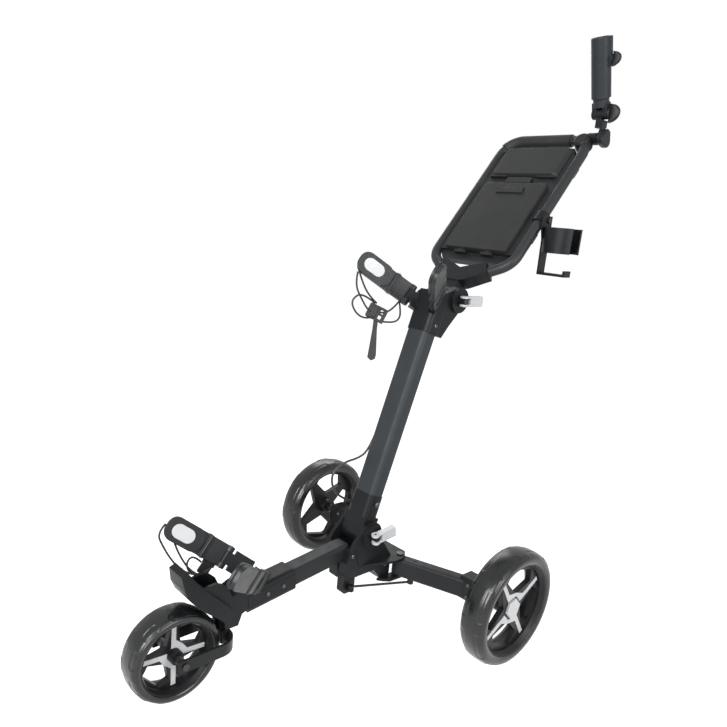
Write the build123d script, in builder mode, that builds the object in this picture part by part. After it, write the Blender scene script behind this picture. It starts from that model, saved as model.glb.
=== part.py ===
from build123d import *
from math import sin, cos, tan, radians, hypot
import os

os.makedirs("parts", exist_ok=True)

# Frame: millimetres, +Z up, the cart faces -Y, +X is the cart's left.
# Wheels. The rear wheel sets the scale of the whole cart.
rear_d = 250.0
rear_w = 58.0
front_d = 177.0
front_w = 58.0
track = 585.0
wheelbase = 604.0
axle_y = 154.0
run = 0.05
gap = 0.4

# Main tubes
post_lean = 17.9
post_w = 56.0
post_t = 40.0
tube_slope = 7.2
tube_w = 40.0
tube_h = 38.0
leg_w = 30.0
leg_h = 42.0
leg_sweep = 20.1
leg_len = 190.0

# Stations of the two folding hinges and of the front fork
low_y = axle_y - 155.0
low_z = 214.0
up_y = axle_y + 47.0
up_z = 714.0
front_y = axle_y - wheelbase
fork_y = axle_y - 502.0
leg_x = 46.0
leg_y = axle_y + 0.7 - leg_len * sin(radians(leg_sweep))
leg_tip = leg_x + leg_len * cos(radians(leg_sweep))
leg_z = 122.0

# Handle, measured in its own sloping plane from the line between lid and pad
handle_slope = 50.0
handle_y = axle_y + 264.3
handle_z = 980.3
handle_half = 108.0
handle_low = -238.0
handle_top = 120.0
handle_r = 11.5
grip_r = 14.0

# Bag cradle arms lie square to the bag, which leans back at this angle
bag_lean = 37.3
arm_t = 9.0
arm_w = 46.0

rear_r = rear_d / 2
front_r = front_d / 2
half_track = track / 2

post_dir = Vector(0, sin(radians(post_lean)), cos(radians(post_lean)))
post_plane = Plane(origin=(0, low_y - 8.3, low_z), x_dir=(1, 0, 0), z_dir=post_dir)
tube_dir = Vector(0, -cos(radians(tube_slope)), -sin(radians(tube_slope)))
tube_plane = Plane(origin=(0, axle_y - 200, 181.5), x_dir=(1, 0, 0), z_dir=tube_dir)
leg_plane = Plane(
    origin=(leg_x, leg_y, leg_z),
    x_dir=(cos(radians(leg_sweep)), sin(radians(leg_sweep)), 0),
    z_dir=(0, 0, 1),
)
handle_plane = Plane(
    origin=(0, handle_y, handle_z),
    x_dir=(1, 0, 0),
    z_dir=(0, -sin(radians(handle_slope)), cos(radians(handle_slope))),
)
bag_dir = Vector(0, sin(radians(bag_lean)), cos(radians(bag_lean)))


def side_plane(x):
    return Plane(origin=(x, 0, 0), x_dir=(0, 1, 0), z_dir=(1, 0, 0))


def stations(points):
    return [(axle_y + y, z) for y, z in points]


def polar(r, angle):
    return (r * cos(radians(angle)), r * sin(radians(angle)))


# Wheels, each built about the X axis with its outer side towards +X
def tyre_of(r, w):
    seat = 0.8 * r
    with BuildPart() as made:
        with BuildSketch(Plane.XY):
            with BuildLine():
                a = Line((-w / 2 + 3, seat), (w / 2 - 3, seat))
                b = ThreePointArc(a @ 1, (w / 2, 0.88 * r), (w / 2 - 3, 0.945 * r))
                c = ThreePointArc(b @ 1, (w / 2 - 7, 0.975 * r), (w / 2 - 13, 0.99 * r))
                d = ThreePointArc(c @ 1, (0, r), (-w / 2 + 13, 0.99 * r))
                e = ThreePointArc(d @ 1, (-w / 2 + 7, 0.975 * r), (-w / 2 + 3, 0.945 * r))
                ThreePointArc(e @ 1, (-w / 2, 0.88 * r), a @ 0)
            make_face()
        revolve(axis=Axis.X)
    return made.part


def rim_of(r, w, turn, disc_in, disc_out, hub_r, hub_in, hub_out, bore, bore_to):
    seat = 0.8 * r
    well = 0.735 * r
    with BuildPart() as made:
        with BuildSketch(Plane.XY):
            with BuildLine():
                Polyline(
                    (-w / 2 + 4, seat), (w / 2 - 4, seat), (w / 2 - 4, seat - 2), (w / 2 - 12, well),
                    (-w / 2 + 12, well), (-w / 2 + 4, seat - 2), close=True,
                )
            make_face()
        revolve(axis=Axis.X)
        with BuildSketch(side_plane(disc_in)):
            Circle(well + 1)
            with PolarLocations(0, 4, start_angle=turn + 45):
                Polygon(
                    polar(0.33 * well, 0), polar(0.77 * well, 37), polar(0.985 * well, 22),
                    polar(0.985 * well, -22), polar(0.77 * well, -37), align=None, mode=Mode.SUBTRACT,
                )
        extrude(amount=disc_out - disc_in)
        with BuildSketch(side_plane(hub_in)):
            Circle(hub_r)
        extrude(amount=hub_out - hub_in)
        with BuildSketch(side_plane(hub_in)):
            Circle(bore)
        extrude(amount=bore_to - hub_in, mode=Mode.SUBTRACT)
    return made.part


def trim_of(r, turn, face, thick, hole_r, hole_sides, hole_turn):
    well = 0.735 * r
    arm = 4.6
    with BuildPart() as made:
        with BuildSketch(side_plane(face)):
            for k in (0, 180):
                with PolarLocations(0, 2, start_angle=turn + k - 2, angular_range=188):
                    Polygon(
                        (0.2 * well, -arm), (0.97 * well, -arm), (0.97 * well, arm), (0.2 * well, arm),
                        align=None,
                    )
                with PolarLocations(0, 1, start_angle=turn + k + 45):
                    Polygon(
                        polar(0.27 * well, -56), polar(0.47 * well, -45), polar(0.37 * well, 0),
                        polar(0.47 * well, 45), polar(0.27 * well, 56), align=None,
                    )
            if hole_sides == 6:
                RegularPolygon(hole_r, 6, rotation=hole_turn, mode=Mode.SUBTRACT)
            else:
                Circle(hole_r, mode=Mode.SUBTRACT)
        extrude(amount=thick)
    return made.part


spoke_turn = 32.0
rear_disc_out = 12.0
hub_half = 20.0
axle_r = 6.0
cap_r = 22.0
rear_at = Location((half_track, axle_y, rear_r))

with BuildPart() as tyre_left:
    add(tyre_of(rear_r, rear_w).moved(rear_at))
tyre_left.part.label = "tyre_left"
export_step(tyre_left.part, "parts/tyre_left.step")

with BuildPart() as tyre_right:
    add(mirror(tyre_left.part, about=Plane.YZ))
tyre_right.part.label = "tyre_right"
export_step(tyre_right.part, "parts/tyre_right.step")

with BuildPart() as rim_left:
    add(
        rim_of(
            rear_r, rear_w, spoke_turn, 0.0, rear_disc_out, 20.0, -hub_half, rear_disc_out, axle_r + run, 8.0
        ).moved(rear_at)
    )
rim_left.part.label = "rim_left"
export_step(rim_left.part, "parts/rim_left.step")

with BuildPart() as rim_right:
    add(mirror(rim_left.part, about=Plane.YZ))
rim_right.part.label = "rim_right"
export_step(rim_right.part, "parts/rim_right.step")

# White spoke trim and the six-sided cap that closes the outer end of each rear hub
with BuildPart() as trim_left:
    add(trim_of(rear_r, spoke_turn, rear_disc_out, 1.6, cap_r + 5, 6, 13))
    with BuildSketch(side_plane(rear_disc_out)):
        RegularPolygon(cap_r, 6, rotation=13)
    extrude(amount=6)
    chamfer(trim_left.faces().sort_by(Axis.X)[-1].edges(), 1.5)
trim_left.part = trim_left.part.moved(rear_at)
trim_left.part.label = "trim_left"
export_step(trim_left.part, "parts/trim_left.step")

with BuildPart() as trim_right:
    add(mirror(trim_left.part, about=Plane.YZ))
trim_right.part.label = "trim_right"
export_step(trim_right.part, "parts/trim_right.step")

# Front wheel, without a cap: its bolt runs right through to both fork arms
front_turn = -2.0
front_axle_r = 5.0
front_hub = 22.0
front_disc = 6.0
front_at = Location((0, front_y, front_r))

with BuildPart() as front_tyre:
    add(tyre_of(front_r, front_w).moved(front_at))
front_tyre.part.label = "front_tyre"
export_step(front_tyre.part, "parts/front_tyre.step")

with BuildPart() as front_rim:
    add(
        rim_of(
            front_r, front_w, front_turn, -front_disc, front_disc, 13.0, -front_hub, front_hub,
            front_axle_r + run, front_hub,
        ).moved(front_at)
    )
front_rim.part.label = "front_rim"
export_step(front_rim.part, "parts/front_rim.step")

with BuildPart() as front_trim:
    add(trim_of(front_r, front_turn, front_disc, 1.4, 13.0, 0, 0).moved(front_at))
    add(trim_of(front_r, front_turn, -front_disc - 1.4, 1.4, 13.0, 0, 0).moved(front_at))
front_trim.part.label = "front_trim"
export_step(front_trim.part, "parts/front_trim.step")

# Fork: a flat band bent round the back of the front wheel, with a swivel block and its upright pin
fork_in = 44.5
fork_t = 5.5
fork_h = 24.0
fork_back = fork_y + 12.0
fork_tip = front_y - 14.0
fork_low = front_r - fork_h / 2
pivot_r = 6.0
block_top = fork_low + fork_h + 2.0

with BuildPart() as fork:
    with BuildSketch(Plane.XY.offset(fork_low)) as band:
        with Locations((0, (fork_back + fork_tip) / 2)):
            Rectangle(2 * (fork_in + fork_t), fork_back - fork_tip)
        fillet(band.vertices().group_by(Axis.Y)[-1], 36)
        fillet(band.vertices().group_by(Axis.Y)[0], 4)
    extrude(amount=fork_h)
    with BuildSketch(Plane.XY.offset(fork_low)) as inside:
        with Locations((0, (fork_back + fork_tip) / 2 - fork_t)):
            Rectangle(2 * fork_in, fork_back - fork_tip)
        fillet(inside.vertices().group_by(Axis.Y)[-1], 30)
    extrude(amount=fork_h, mode=Mode.SUBTRACT)
    with BuildSketch(Plane.YZ.offset(-80)):
        with Locations((front_y, front_r)):
            Circle(front_axle_r)
    extrude(amount=160, mode=Mode.SUBTRACT)
    with BuildSketch(Plane.XY.offset(fork_low)):
        with Locations((0, fork_back - fork_t - 6.5)):
            RectangleRounded(32, 15, 3)
    extrude(amount=block_top - fork_low)
    with BuildSketch(Plane.XY.offset(block_top)):
        with Locations((0, fork_y)):
            Circle(pivot_r)
    extrude(amount=30)
fork.part.label = "fork"
export_step(fork.part, "parts/fork.step")

# Front axle bolt with a spacer each side of the hub and a head and nut outside the arms
with BuildPart() as front_axle:
    with BuildSketch(side_plane(-fork_in - fork_t)):
        Circle(front_axle_r)
    extrude(amount=2 * (fork_in + fork_t))
    for x in (-fork_in, front_hub + gap):
        with BuildSketch(side_plane(x)):
            Circle(8)
        extrude(amount=fork_in - front_hub - gap)
    for x in (-fork_in - fork_t - 3, fork_in + fork_t):
        with BuildSketch(side_plane(x)):
            RegularPolygon(7, 6)
        extrude(amount=3)
front_axle.part = front_axle.part.moved(front_at)
front_axle.part.label = "front_axle"
export_step(front_axle.part, "parts/front_axle.step")

# Front tube of the chassis
tube_len = 252.0
with BuildPart() as front_tube:
    with BuildSketch(tube_plane):
        RectangleRounded(tube_w, tube_h, 8)
        RectangleRounded(tube_w - 4, tube_h - 4, 6, mode=Mode.SUBTRACT)
    extrude(amount=tube_len)
front_tube.part.label = "front_tube"
export_step(front_tube.part, "parts/front_tube.step")


# Cradle arms: a plane square to the bag at a given height along it
def arm_plane(height):
    return Plane(
        origin=(0, axle_y + height * bag_dir.Y, height * bag_dir.Z), x_dir=(1, 0, 0), z_dir=-bag_dir
    )


low_height = -110.6
low_root = (22.0, 452.0)
low_joint = (55.0, 495.0)
low_knee = (77.5, 552.0)
low_tip = (100.0, 622.0)
high_height = (up_y - axle_y) * bag_dir.Y + up_z * bag_dir.Z - 46.5
high_v = up_z * bag_dir.Y - (up_y - axle_y) * bag_dir.Z
high_root = (24.0, high_v + 45.7)
high_joint = (40.0, high_v + 66.7)
high_knee = (66.0, high_v + 105.7)
high_tip = (108.0, high_v + 175.7)
pin_r = 3.0
tongue = 12.0
pad_len = 82.0
pad_t = 5.0
oval_len = 48.0
oval_w = 28.0


def lug_of(height, root, joint):
    size = hypot(joint[0] - root[0], joint[1] - root[1])
    part_way = max(size - 12.5, 4) / size
    wide = (root[0] + part_way * (joint[0] - root[0]), root[1] + part_way * (joint[1] - root[1]))
    with BuildPart() as made:
        with BuildSketch(arm_plane(height)):
            with BuildLine():
                Line(root, joint)
            trace(line_width=15)
            with Locations(joint):
                Circle(8)
        extrude(amount=tongue, both=True)
        with BuildSketch(arm_plane(height)):
            with BuildLine():
                Line(root, wide)
            trace(line_width=15)
        extrude(amount=arm_w / 2 - 2, both=True)
        with BuildSketch(arm_plane(height)):
            with Locations(joint):
                Circle(pin_r)
        extrude(amount=tongue + 1, both=True, mode=Mode.SUBTRACT)
    return made.part


def pin_of(height, joint):
    with BuildPart() as made:
        with BuildSketch(arm_plane(height)):
            with Locations(joint):
                Circle(pin_r)
        extrude(amount=arm_w / 2 + 1, both=True)
    return made.part


def face_plane(height, knee, tip, back, lift):
    du = tip[0] - knee[0]
    dv = tip[1] - knee[1]
    size = hypot(du, dv)
    base = arm_plane(height)
    along = base.x_dir * (du / size) + base.y_dir * (dv / size)
    inward = base.x_dir * (-dv / size) + base.y_dir * (du / size)
    spot = base.from_local_coords(Vector(tip[0], tip[1], 0)) - along * back + inward * lift
    return Plane(origin=spot, x_dir=along, z_dir=inward)


def arm_of(height, joint, knee, tip):
    size = hypot(knee[0] - joint[0], knee[1] - joint[1])
    back = (joint[0] - 12 * (knee[0] - joint[0]) / size, joint[1] - 12 * (knee[1] - joint[1]) / size)
    with BuildPart() as made:
        with BuildSketch(arm_plane(height)):
            with BuildLine():
                FilletPolyline(joint, knee, tip, radius=60)
            trace(line_width=arm_t)
            with Locations(joint):
                Circle(8)
        extrude(amount=arm_w / 2, both=True)
        fillet(made.edges().filter_by(lambda e: abs(e.length - arm_t) < 0.01), 17)
        with BuildSketch(face_plane(height, knee, tip, pad_len / 2 - 4, arm_t / 2)):
            RectangleRounded(pad_len, arm_w + 2, 20)
        extrude(amount=pad_t)
        with BuildSketch(arm_plane(height)):
            with Locations(joint):
                Circle(8 + gap)
            with BuildLine():
                Line(back, joint)
            trace(line_width=22)
        extrude(amount=tongue + gap, both=True, mode=Mode.SUBTRACT)
        with BuildSketch(arm_plane(height)):
            with Locations(joint):
                Circle(pin_r + run)
        extrude(amount=arm_w, both=True, mode=Mode.SUBTRACT)
    return made.part


def oval_of(height, knee, tip):
    with BuildPart() as made:
        with BuildSketch(face_plane(height, knee, tip, pad_len / 2 - 8, arm_t / 2 + pad_t)):
            SlotOverall(oval_len, oval_w)
        extrude(amount=2)
    return made.part


# The left lower arm stands swung a little outwards on its pin
low_swing = 10.0


def swung(point):
    du, dv = point[0] - low_joint[0], point[1] - low_joint[1]
    turn = radians(low_swing)
    return (low_joint[0] + du * cos(turn) + dv * sin(turn), low_joint[1] + dv * cos(turn) - du * sin(turn))


with BuildPart() as lower_arm_left:
    add(arm_of(low_height, low_joint, swung(low_knee), swung(low_tip)))
lower_arm_left.part.label = "lower_arm_left"
export_step(lower_arm_left.part, "parts/lower_arm_left.step")

with BuildPart() as lower_arm_right:
    add(mirror(arm_of(low_height, low_joint, low_knee, low_tip), about=Plane.YZ))
lower_arm_right.part.label = "lower_arm_right"
export_step(lower_arm_right.part, "parts/lower_arm_right.step")

with BuildPart() as lower_oval_left:
    add(oval_of(low_height, swung(low_knee), swung(low_tip)))
lower_oval_left.part.label = "lower_oval_left"
export_step(lower_oval_left.part, "parts/lower_oval_left.step")

with BuildPart() as lower_oval_right:
    add(mirror(oval_of(low_height, low_knee, low_tip), about=Plane.YZ))
lower_oval_right.part.label = "lower_oval_right"
export_step(lower_oval_right.part, "parts/lower_oval_right.step")

with BuildPart() as upper_arm_left:
    add(arm_of(high_height, high_joint, high_knee, high_tip))
upper_arm_left.part.label = "upper_arm_left"
export_step(upper_arm_left.part, "parts/upper_arm_left.step")

with BuildPart() as upper_arm_right:
    add(mirror(upper_arm_left.part, about=Plane.YZ))
upper_arm_right.part.label = "upper_arm_right"
export_step(upper_arm_right.part, "parts/upper_arm_right.step")

with BuildPart() as upper_oval_left:
    add(oval_of(high_height, high_knee, high_tip))
upper_oval_left.part.label = "upper_oval_left"
export_step(upper_oval_left.part, "parts/upper_oval_left.step")

with BuildPart() as upper_oval_right:
    add(mirror(upper_oval_left.part, about=Plane.YZ))
upper_oval_right.part.label = "upper_oval_right"
export_step(upper_oval_right.part, "parts/upper_oval_right.step")

# Head casting: socket on the front tube, bag base tray, fork boss and lower arm lugs
tray_outer = [(-600, 248), (-594, 219), (-582, 196), (-565, 178), (-548, 164), (-530, 149), (-510, 130)]
tray_inner = [(-494, 150), (-518, 176), (-542, 199), (-567, 225), (-588, 254)]
body_line = [
    (-425, 190), (-452, 192), (-480, 182), (-500, 172), (-518, 178), (-530, 149), (-510, 130),
    (-506, 110), (-479, 110), (-471, 132), (-425, 150),
]
wall_line = [
    (-566, 204), (-557, 210), (-546, 214), (-530, 215), (-517, 209), (-506, 199), (-496, 178), (-498, 150),
    (-530, 165),
]
with BuildPart() as head_casting:
    with BuildSketch(side_plane(-38)):
        Polygon(*stations(tray_outer + tray_inner), align=None)
    extrude(amount=76)
    with BuildSketch(Plane.XZ.offset(-axle_y + 480)):
        Polygon((-38, 100), (-38, 172), (-34, 190), (-27, 220), (-20, 260), (-17, 290), (17, 290), (20, 260),
                (27, 220), (34, 190), (38, 172), (38, 100), align=None)
    extrude(amount=200, mode=Mode.INTERSECT)
    with BuildSketch(side_plane(-24)):
        Polygon(*stations(body_line), align=None)
    extrude(amount=48)
    for x in (-26, 19):
        with BuildSketch(side_plane(x)):
            Polygon(*stations(wall_line), align=None)
        extrude(amount=7)
    with BuildSketch(tube_plane.offset(tube_len - 104)):
        RectangleRounded(tube_w + 10, tube_h + 10, 11)
    extrude(amount=112)
    with BuildSketch(Plane.XY.offset(104)):
        with Locations((0, fork_y)):
            Circle(12)
    extrude(amount=40)
    add(lug_of(low_height, low_root, low_joint))
    add(mirror(lug_of(low_height, low_root, low_joint), about=Plane.YZ))
    with BuildSketch(tube_plane):
        RectangleRounded(tube_w, tube_h, 8)
    extrude(amount=tube_len, mode=Mode.SUBTRACT)
    with BuildSketch(Plane.XY.offset(100)):
        with Locations((0, fork_y)):
            Circle(pivot_r + run)
    extrude(amount=36, mode=Mode.SUBTRACT)
head_casting.part.label = "head_casting"
export_step(head_casting.part, "parts/head_casting.step")

# Hub of the chassis: two cheeks for the post hinge, wing plates over and under the leg roots
cheek_in = 30.4
cheek_out = 38.0
seat_face = cheek_out + 4.0
cheek_line = [
    (-184, 226), (-200, 212), (-212, 192), (-221, 166), (-222, 142), (-200, 127), (-136, 127), (-112, 98),
    (-86, 96), (-86, 150), (-126, 206),
]
slot_line = [
    (-262, 198), (-206, 193), (-170, 184), (-130, 184), (-110, 150), (-80, 150), (-80, 260), (-262, 260),
]
keel_line = [(-226, 166), (-222, 125), (-150, 125), (-144, 140)]
wing_line = [
    (34, -196), (44, -152), (57, -114), (63, -94), (63, -74), (54, -56), (43, -45), (33, -44), (33, -90),
]
under_line = [
    (34, -120), (44, -112), (55, -98), (57, -60), (50, -48), (34, -48), (33, -90),
]
bolt_r = 6.0
leg_pin_r = 5.0
wing_low = leg_z + leg_h / 2 + gap
under_top = leg_z - leg_h / 2 - gap

with BuildPart() as hub_housing:
    with BuildSketch(side_plane(-cheek_out)):
        Polygon(*stations(cheek_line), align=None)
        with Locations((low_y, low_z)):
            Circle(31)
    extrude(amount=2 * cheek_out)
    with BuildSketch(side_plane(-cheek_in)):
        Polygon(*stations(slot_line), align=None)
    extrude(amount=2 * cheek_in, mode=Mode.SUBTRACT)
    for side in (1, -1):
        with BuildSketch(Plane.XY.offset(wing_low)):
            Polygon(*[(side * x, axle_y + y) for x, y in wing_line], align=None)
        extrude(amount=6)
        with BuildSketch(Plane.XY.offset(under_top - 6)):
            Polygon(*[(side * x, axle_y + y) for x, y in under_line], align=None)
        extrude(amount=6)
    with BuildSketch(Plane.XY.offset(wing_low)):
        with Locations((0, axle_y - 70)):
            Rectangle(68, 50)
    extrude(amount=6)
    with BuildSketch(side_plane(-13)):
        Polygon(*stations(keel_line), align=None)
    extrude(amount=26)
    with BuildSketch(side_plane(cheek_out)):
        with Locations((low_y, low_z)):
            Circle(26)
    extrude(amount=seat_face - cheek_out)
    with BuildSketch(tube_plane):
        RectangleRounded(tube_w, tube_h, 8)
    extrude(amount=tube_len, mode=Mode.SUBTRACT)
    with BuildSketch(side_plane(-60)):
        with Locations((low_y, low_z)):
            Circle(bolt_r)
    extrude(amount=120, mode=Mode.SUBTRACT)
    with BuildSketch(Plane.XY.offset(90)):
        with Locations((leg_x, leg_y), (-leg_x, leg_y)):
            Circle(leg_pin_r)
    extrude(amount=80, mode=Mode.SUBTRACT)
hub_housing.part.label = "hub_housing"
export_step(hub_housing.part, "parts/hub_housing.step")

# Clamp bolts with the cross pin that each white cam lever turns on
lever_len = 50.0
lever_h = 22.0
cam_r = 2.5
slot_h = 2 * bolt_r + 2 * gap
low_tilt = 11.0
low_cam = seat_face + 9.6


def cam_plane(x, y, z, tilt):
    return Plane(origin=(x, y, z), x_dir=(1, 0, 0), z_dir=(0, -sin(radians(tilt)), cos(radians(tilt))))


def clamp_of(cam_x, y, z, tilt, far):
    with BuildPart() as made:
        with BuildSketch(side_plane(-far)):
            with Locations((y, z)):
                Circle(bolt_r)
        extrude(amount=far + cam_x + 6)
        with BuildSketch(side_plane(-far - 5)):
            with Locations((y, z)):
                RegularPolygon(11, 6)
        extrude(amount=5)
        with BuildSketch(cam_plane(cam_x, y, z, tilt)):
            Circle(cam_r)
        extrude(amount=lever_h / 2, both=True)
    return made.part


def lever_of(cam_x, y, z, tilt):
    with BuildPart() as made:
        with BuildSketch(cam_plane(cam_x, y, z, tilt)):
            with BuildLine():
                Line((0, 0), (5, lever_len))
            trace(line_width=13)
            Circle(9)
        extrude(amount=lever_h / 2, both=True)
        fillet(made.edges().filter_by(lambda e: abs(e.length - lever_h) < 0.01).group_by(Axis.Y)[-1], 4)
        with BuildSketch(cam_plane(cam_x, y, z, tilt)):
            Rectangle(40, 26)
        extrude(amount=slot_h / 2, both=True, mode=Mode.SUBTRACT)
        with BuildSketch(cam_plane(cam_x, y, z, tilt)):
            Circle(cam_r + run)
        extrude(amount=lever_h, both=True, mode=Mode.SUBTRACT)
    return made.part


# All the pins of the chassis: two leg pins, two lower arm pins and the lower clamp bolt
with BuildPart() as chassis_pins:
    with BuildSketch(Plane.XY.offset(under_top - 6)):
        with Locations((leg_x, leg_y), (-leg_x, leg_y)):
            Circle(leg_pin_r)
    extrude(amount=wing_low - under_top + 12)
    with BuildSketch(Plane.XY.offset(wing_low + 6)):
        with Locations((leg_x, leg_y), (-leg_x, leg_y)):
            Circle(8)
    extrude(amount=3)
    add(pin_of(low_height, low_joint))
    add(mirror(pin_of(low_height, low_joint), about=Plane.YZ))
    add(clamp_of(low_cam, low_y, low_z, low_tilt, cheek_out))
chassis_pins.part.label = "chassis_pins"
export_step(chassis_pins.part, "parts/chassis_pins.step")

with BuildPart() as lower_lever:
    add(lever_of(low_cam, low_y, low_z, low_tilt))
lower_lever.part.label = "lower_lever"
export_step(lower_lever.part, "parts/lower_lever.step")


# Rear legs: square tubes on upright pins, with a moulded block that carries the axle
def leg_solid():
    with BuildPart() as made:
        with BuildSketch(leg_plane.offset(-leg_h / 2)):
            with Locations((leg_len / 2, 0)):
                Rectangle(leg_len, leg_w)
            Circle(leg_w / 2)
        extrude(amount=leg_h)
        fillet(made.edges().filter_by(lambda e: abs(e.length - leg_len) < 0.01), 5)
    return made.part


with BuildPart() as leg_left:
    add(leg_solid())
    with BuildSketch(leg_plane.offset(-leg_h / 2 + 2.5)):
        with Locations((leg_len / 2 + 16, 0)):
            Rectangle(leg_len, leg_w - 5)
    extrude(amount=leg_h - 5, mode=Mode.SUBTRACT)
    with BuildSketch(leg_plane.offset(leg_h / 2 - 0.8)):
        with Locations((leg_len / 2 + 30, -leg_w / 2 + 7)):
            Rectangle(leg_len - 60, 1.4)
    extrude(amount=1, mode=Mode.SUBTRACT)
    with BuildSketch(leg_plane.offset(-leg_h)):
        Circle(leg_pin_r + run)
    extrude(amount=2 * leg_h, mode=Mode.SUBTRACT)
leg_left.part.label = "leg_left"
export_step(leg_left.part, "parts/leg_left.step")

with BuildPart() as leg_right:
    add(mirror(leg_left.part, about=Plane.YZ))
leg_right.part.label = "leg_right"
export_step(leg_right.part, "parts/leg_right.step")

block_in = leg_tip - 38.4
block_out = leg_tip + 15.6
axle_from = leg_tip + 1.6
with BuildPart() as leg_block_left:
    with BuildSketch(side_plane(block_in)):
        with Locations((axle_y - 2, leg_z + 1)):
            RectangleRounded(46, leg_h + 12, 10)
    extrude(amount=block_out - block_in)
    fillet(leg_block_left.faces().sort_by(Axis.X)[-1].edges(), 3)
    add(leg_solid(), mode=Mode.SUBTRACT)
    with BuildSketch(side_plane(axle_from)):
        with Locations((axle_y, rear_r)):
            Circle(axle_r)
    extrude(amount=20, mode=Mode.SUBTRACT)
leg_block_left.part.label = "leg_block_left"
export_step(leg_block_left.part, "parts/leg_block_left.step")

with BuildPart() as leg_block_right:
    add(mirror(leg_block_left.part, about=Plane.YZ))
leg_block_right.part.label = "leg_block_right"
export_step(leg_block_right.part, "parts/leg_block_right.step")

with BuildPart() as axle_left:
    with BuildSketch(side_plane(axle_from)):
        with Locations((axle_y, rear_r)):
            Circle(axle_r)
    extrude(amount=half_track + 6 - axle_from)
    with BuildSketch(side_plane(block_out)):
        with Locations((axle_y, rear_r)):
            Circle(10)
    extrude(amount=half_track - hub_half - 0.6 - block_out)
axle_left.part.label = "axle_left"
export_step(axle_left.part, "parts/axle_left.step")

with BuildPart() as axle_right:
    add(mirror(axle_left.part, about=Plane.YZ))
axle_right.part.label = "axle_right"
export_step(axle_right.part, "parts/axle_right.step")

# Fold shoe that slides under the hub, and the two rods from it to the legs
shoe_y = axle_y - 181.0
shoe_top = 125.0 - gap
rod_r = 2.6
rod_pin = 3.0
rod_half = 3.4
rod_z = 90.4
rod_in = Vector(17, shoe_y, rod_z)
rod_root = leg_plane.from_local_coords(Vector(32, 0, 0))
rod_out = Vector(rod_root.X, rod_root.Y, rod_z)
rod_dir = (rod_out - rod_in).normalized()
with BuildPart() as fold_shoe:
    with BuildSketch(side_plane(-10)):
        with Locations((shoe_y, shoe_top - 26)):
            RectangleRounded(34, 52, 8)
    extrude(amount=20)
    with BuildSketch(Plane.XY.offset(rod_z - 10)):
        with Locations((0, shoe_y)):
            SlotOverall(2 * rod_in.X + 14, 14)
    extrude(amount=6)
    with BuildSketch(Plane.XY.offset(rod_z - 4)):
        with Locations((rod_in.X, shoe_y), (-rod_in.X, shoe_y)):
            Circle(rod_pin)
    extrude(amount=8)
fold_shoe.part.label = "fold_shoe"
export_step(fold_shoe.part, "parts/fold_shoe.step")

with BuildPart() as link_left:
    with BuildSketch(Plane.XY.offset(rod_z - rod_half)):
        with Locations((rod_out.X, rod_out.Y)):
            Circle(7)
    extrude(amount=leg_z - leg_h / 2 - gap - rod_z + rod_half)
    with BuildSketch(Plane.XY.offset(rod_z - rod_half)):
        with Locations((rod_in.X, rod_in.Y)):
            Circle(6.5)
            Circle(rod_pin + run, mode=Mode.SUBTRACT)
    extrude(amount=2 * rod_half)
    with BuildSketch(Plane(origin=rod_in + rod_dir * 5, z_dir=rod_dir)):
        Circle(rod_r)
    extrude(amount=(rod_out - rod_in).length - 8)
link_left.part.label = "link_left"
export_step(link_left.part, "parts/link_left.step")

with BuildPart() as link_right:
    add(mirror(link_left.part, about=Plane.YZ))
link_right.part.label = "link_right"
export_step(link_right.part, "parts/link_right.step")

# Main post with its foot in the lower hinge and its head in the upper hinge
post_from = 40.0
post_to = 520.0
with BuildPart() as post_tube:
    with BuildSketch(post_plane.offset(post_from)):
        RectangleRounded(post_w, post_t, 12)
        RectangleRounded(post_w - 5, post_t - 5, 9.5, mode=Mode.SUBTRACT)
    extrude(amount=post_to - post_from)
post_tube.part.label = "post_tube"
export_step(post_tube.part, "parts/post_tube.step")

foot_half = cheek_in - gap
with BuildPart() as post_foot:
    with BuildSketch(post_plane.offset(-4)):
        with Locations((0, 2)):
            Rectangle(2 * foot_half, post_t)
    extrude(amount=44)
    with BuildSketch(side_plane(-foot_half)):
        with Locations((low_y, low_z)):
            Circle(27)
    extrude(amount=2 * foot_half)
    with BuildSketch(post_plane.offset(post_from - 2)):
        RectangleRounded(post_w + 3, post_t + 3, 13.5)
    extrude(amount=50)
    with BuildSketch(post_plane.offset(post_from)):
        RectangleRounded(post_w, post_t, 12)
    extrude(amount=80, mode=Mode.SUBTRACT)
    with BuildSketch(side_plane(-60)):
        with Locations((low_y, low_z)):
            Circle(bolt_r + run)
    extrude(amount=120, mode=Mode.SUBTRACT)
post_foot.part.label = "post_foot"
export_step(post_foot.part, "parts/post_foot.step")

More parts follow.
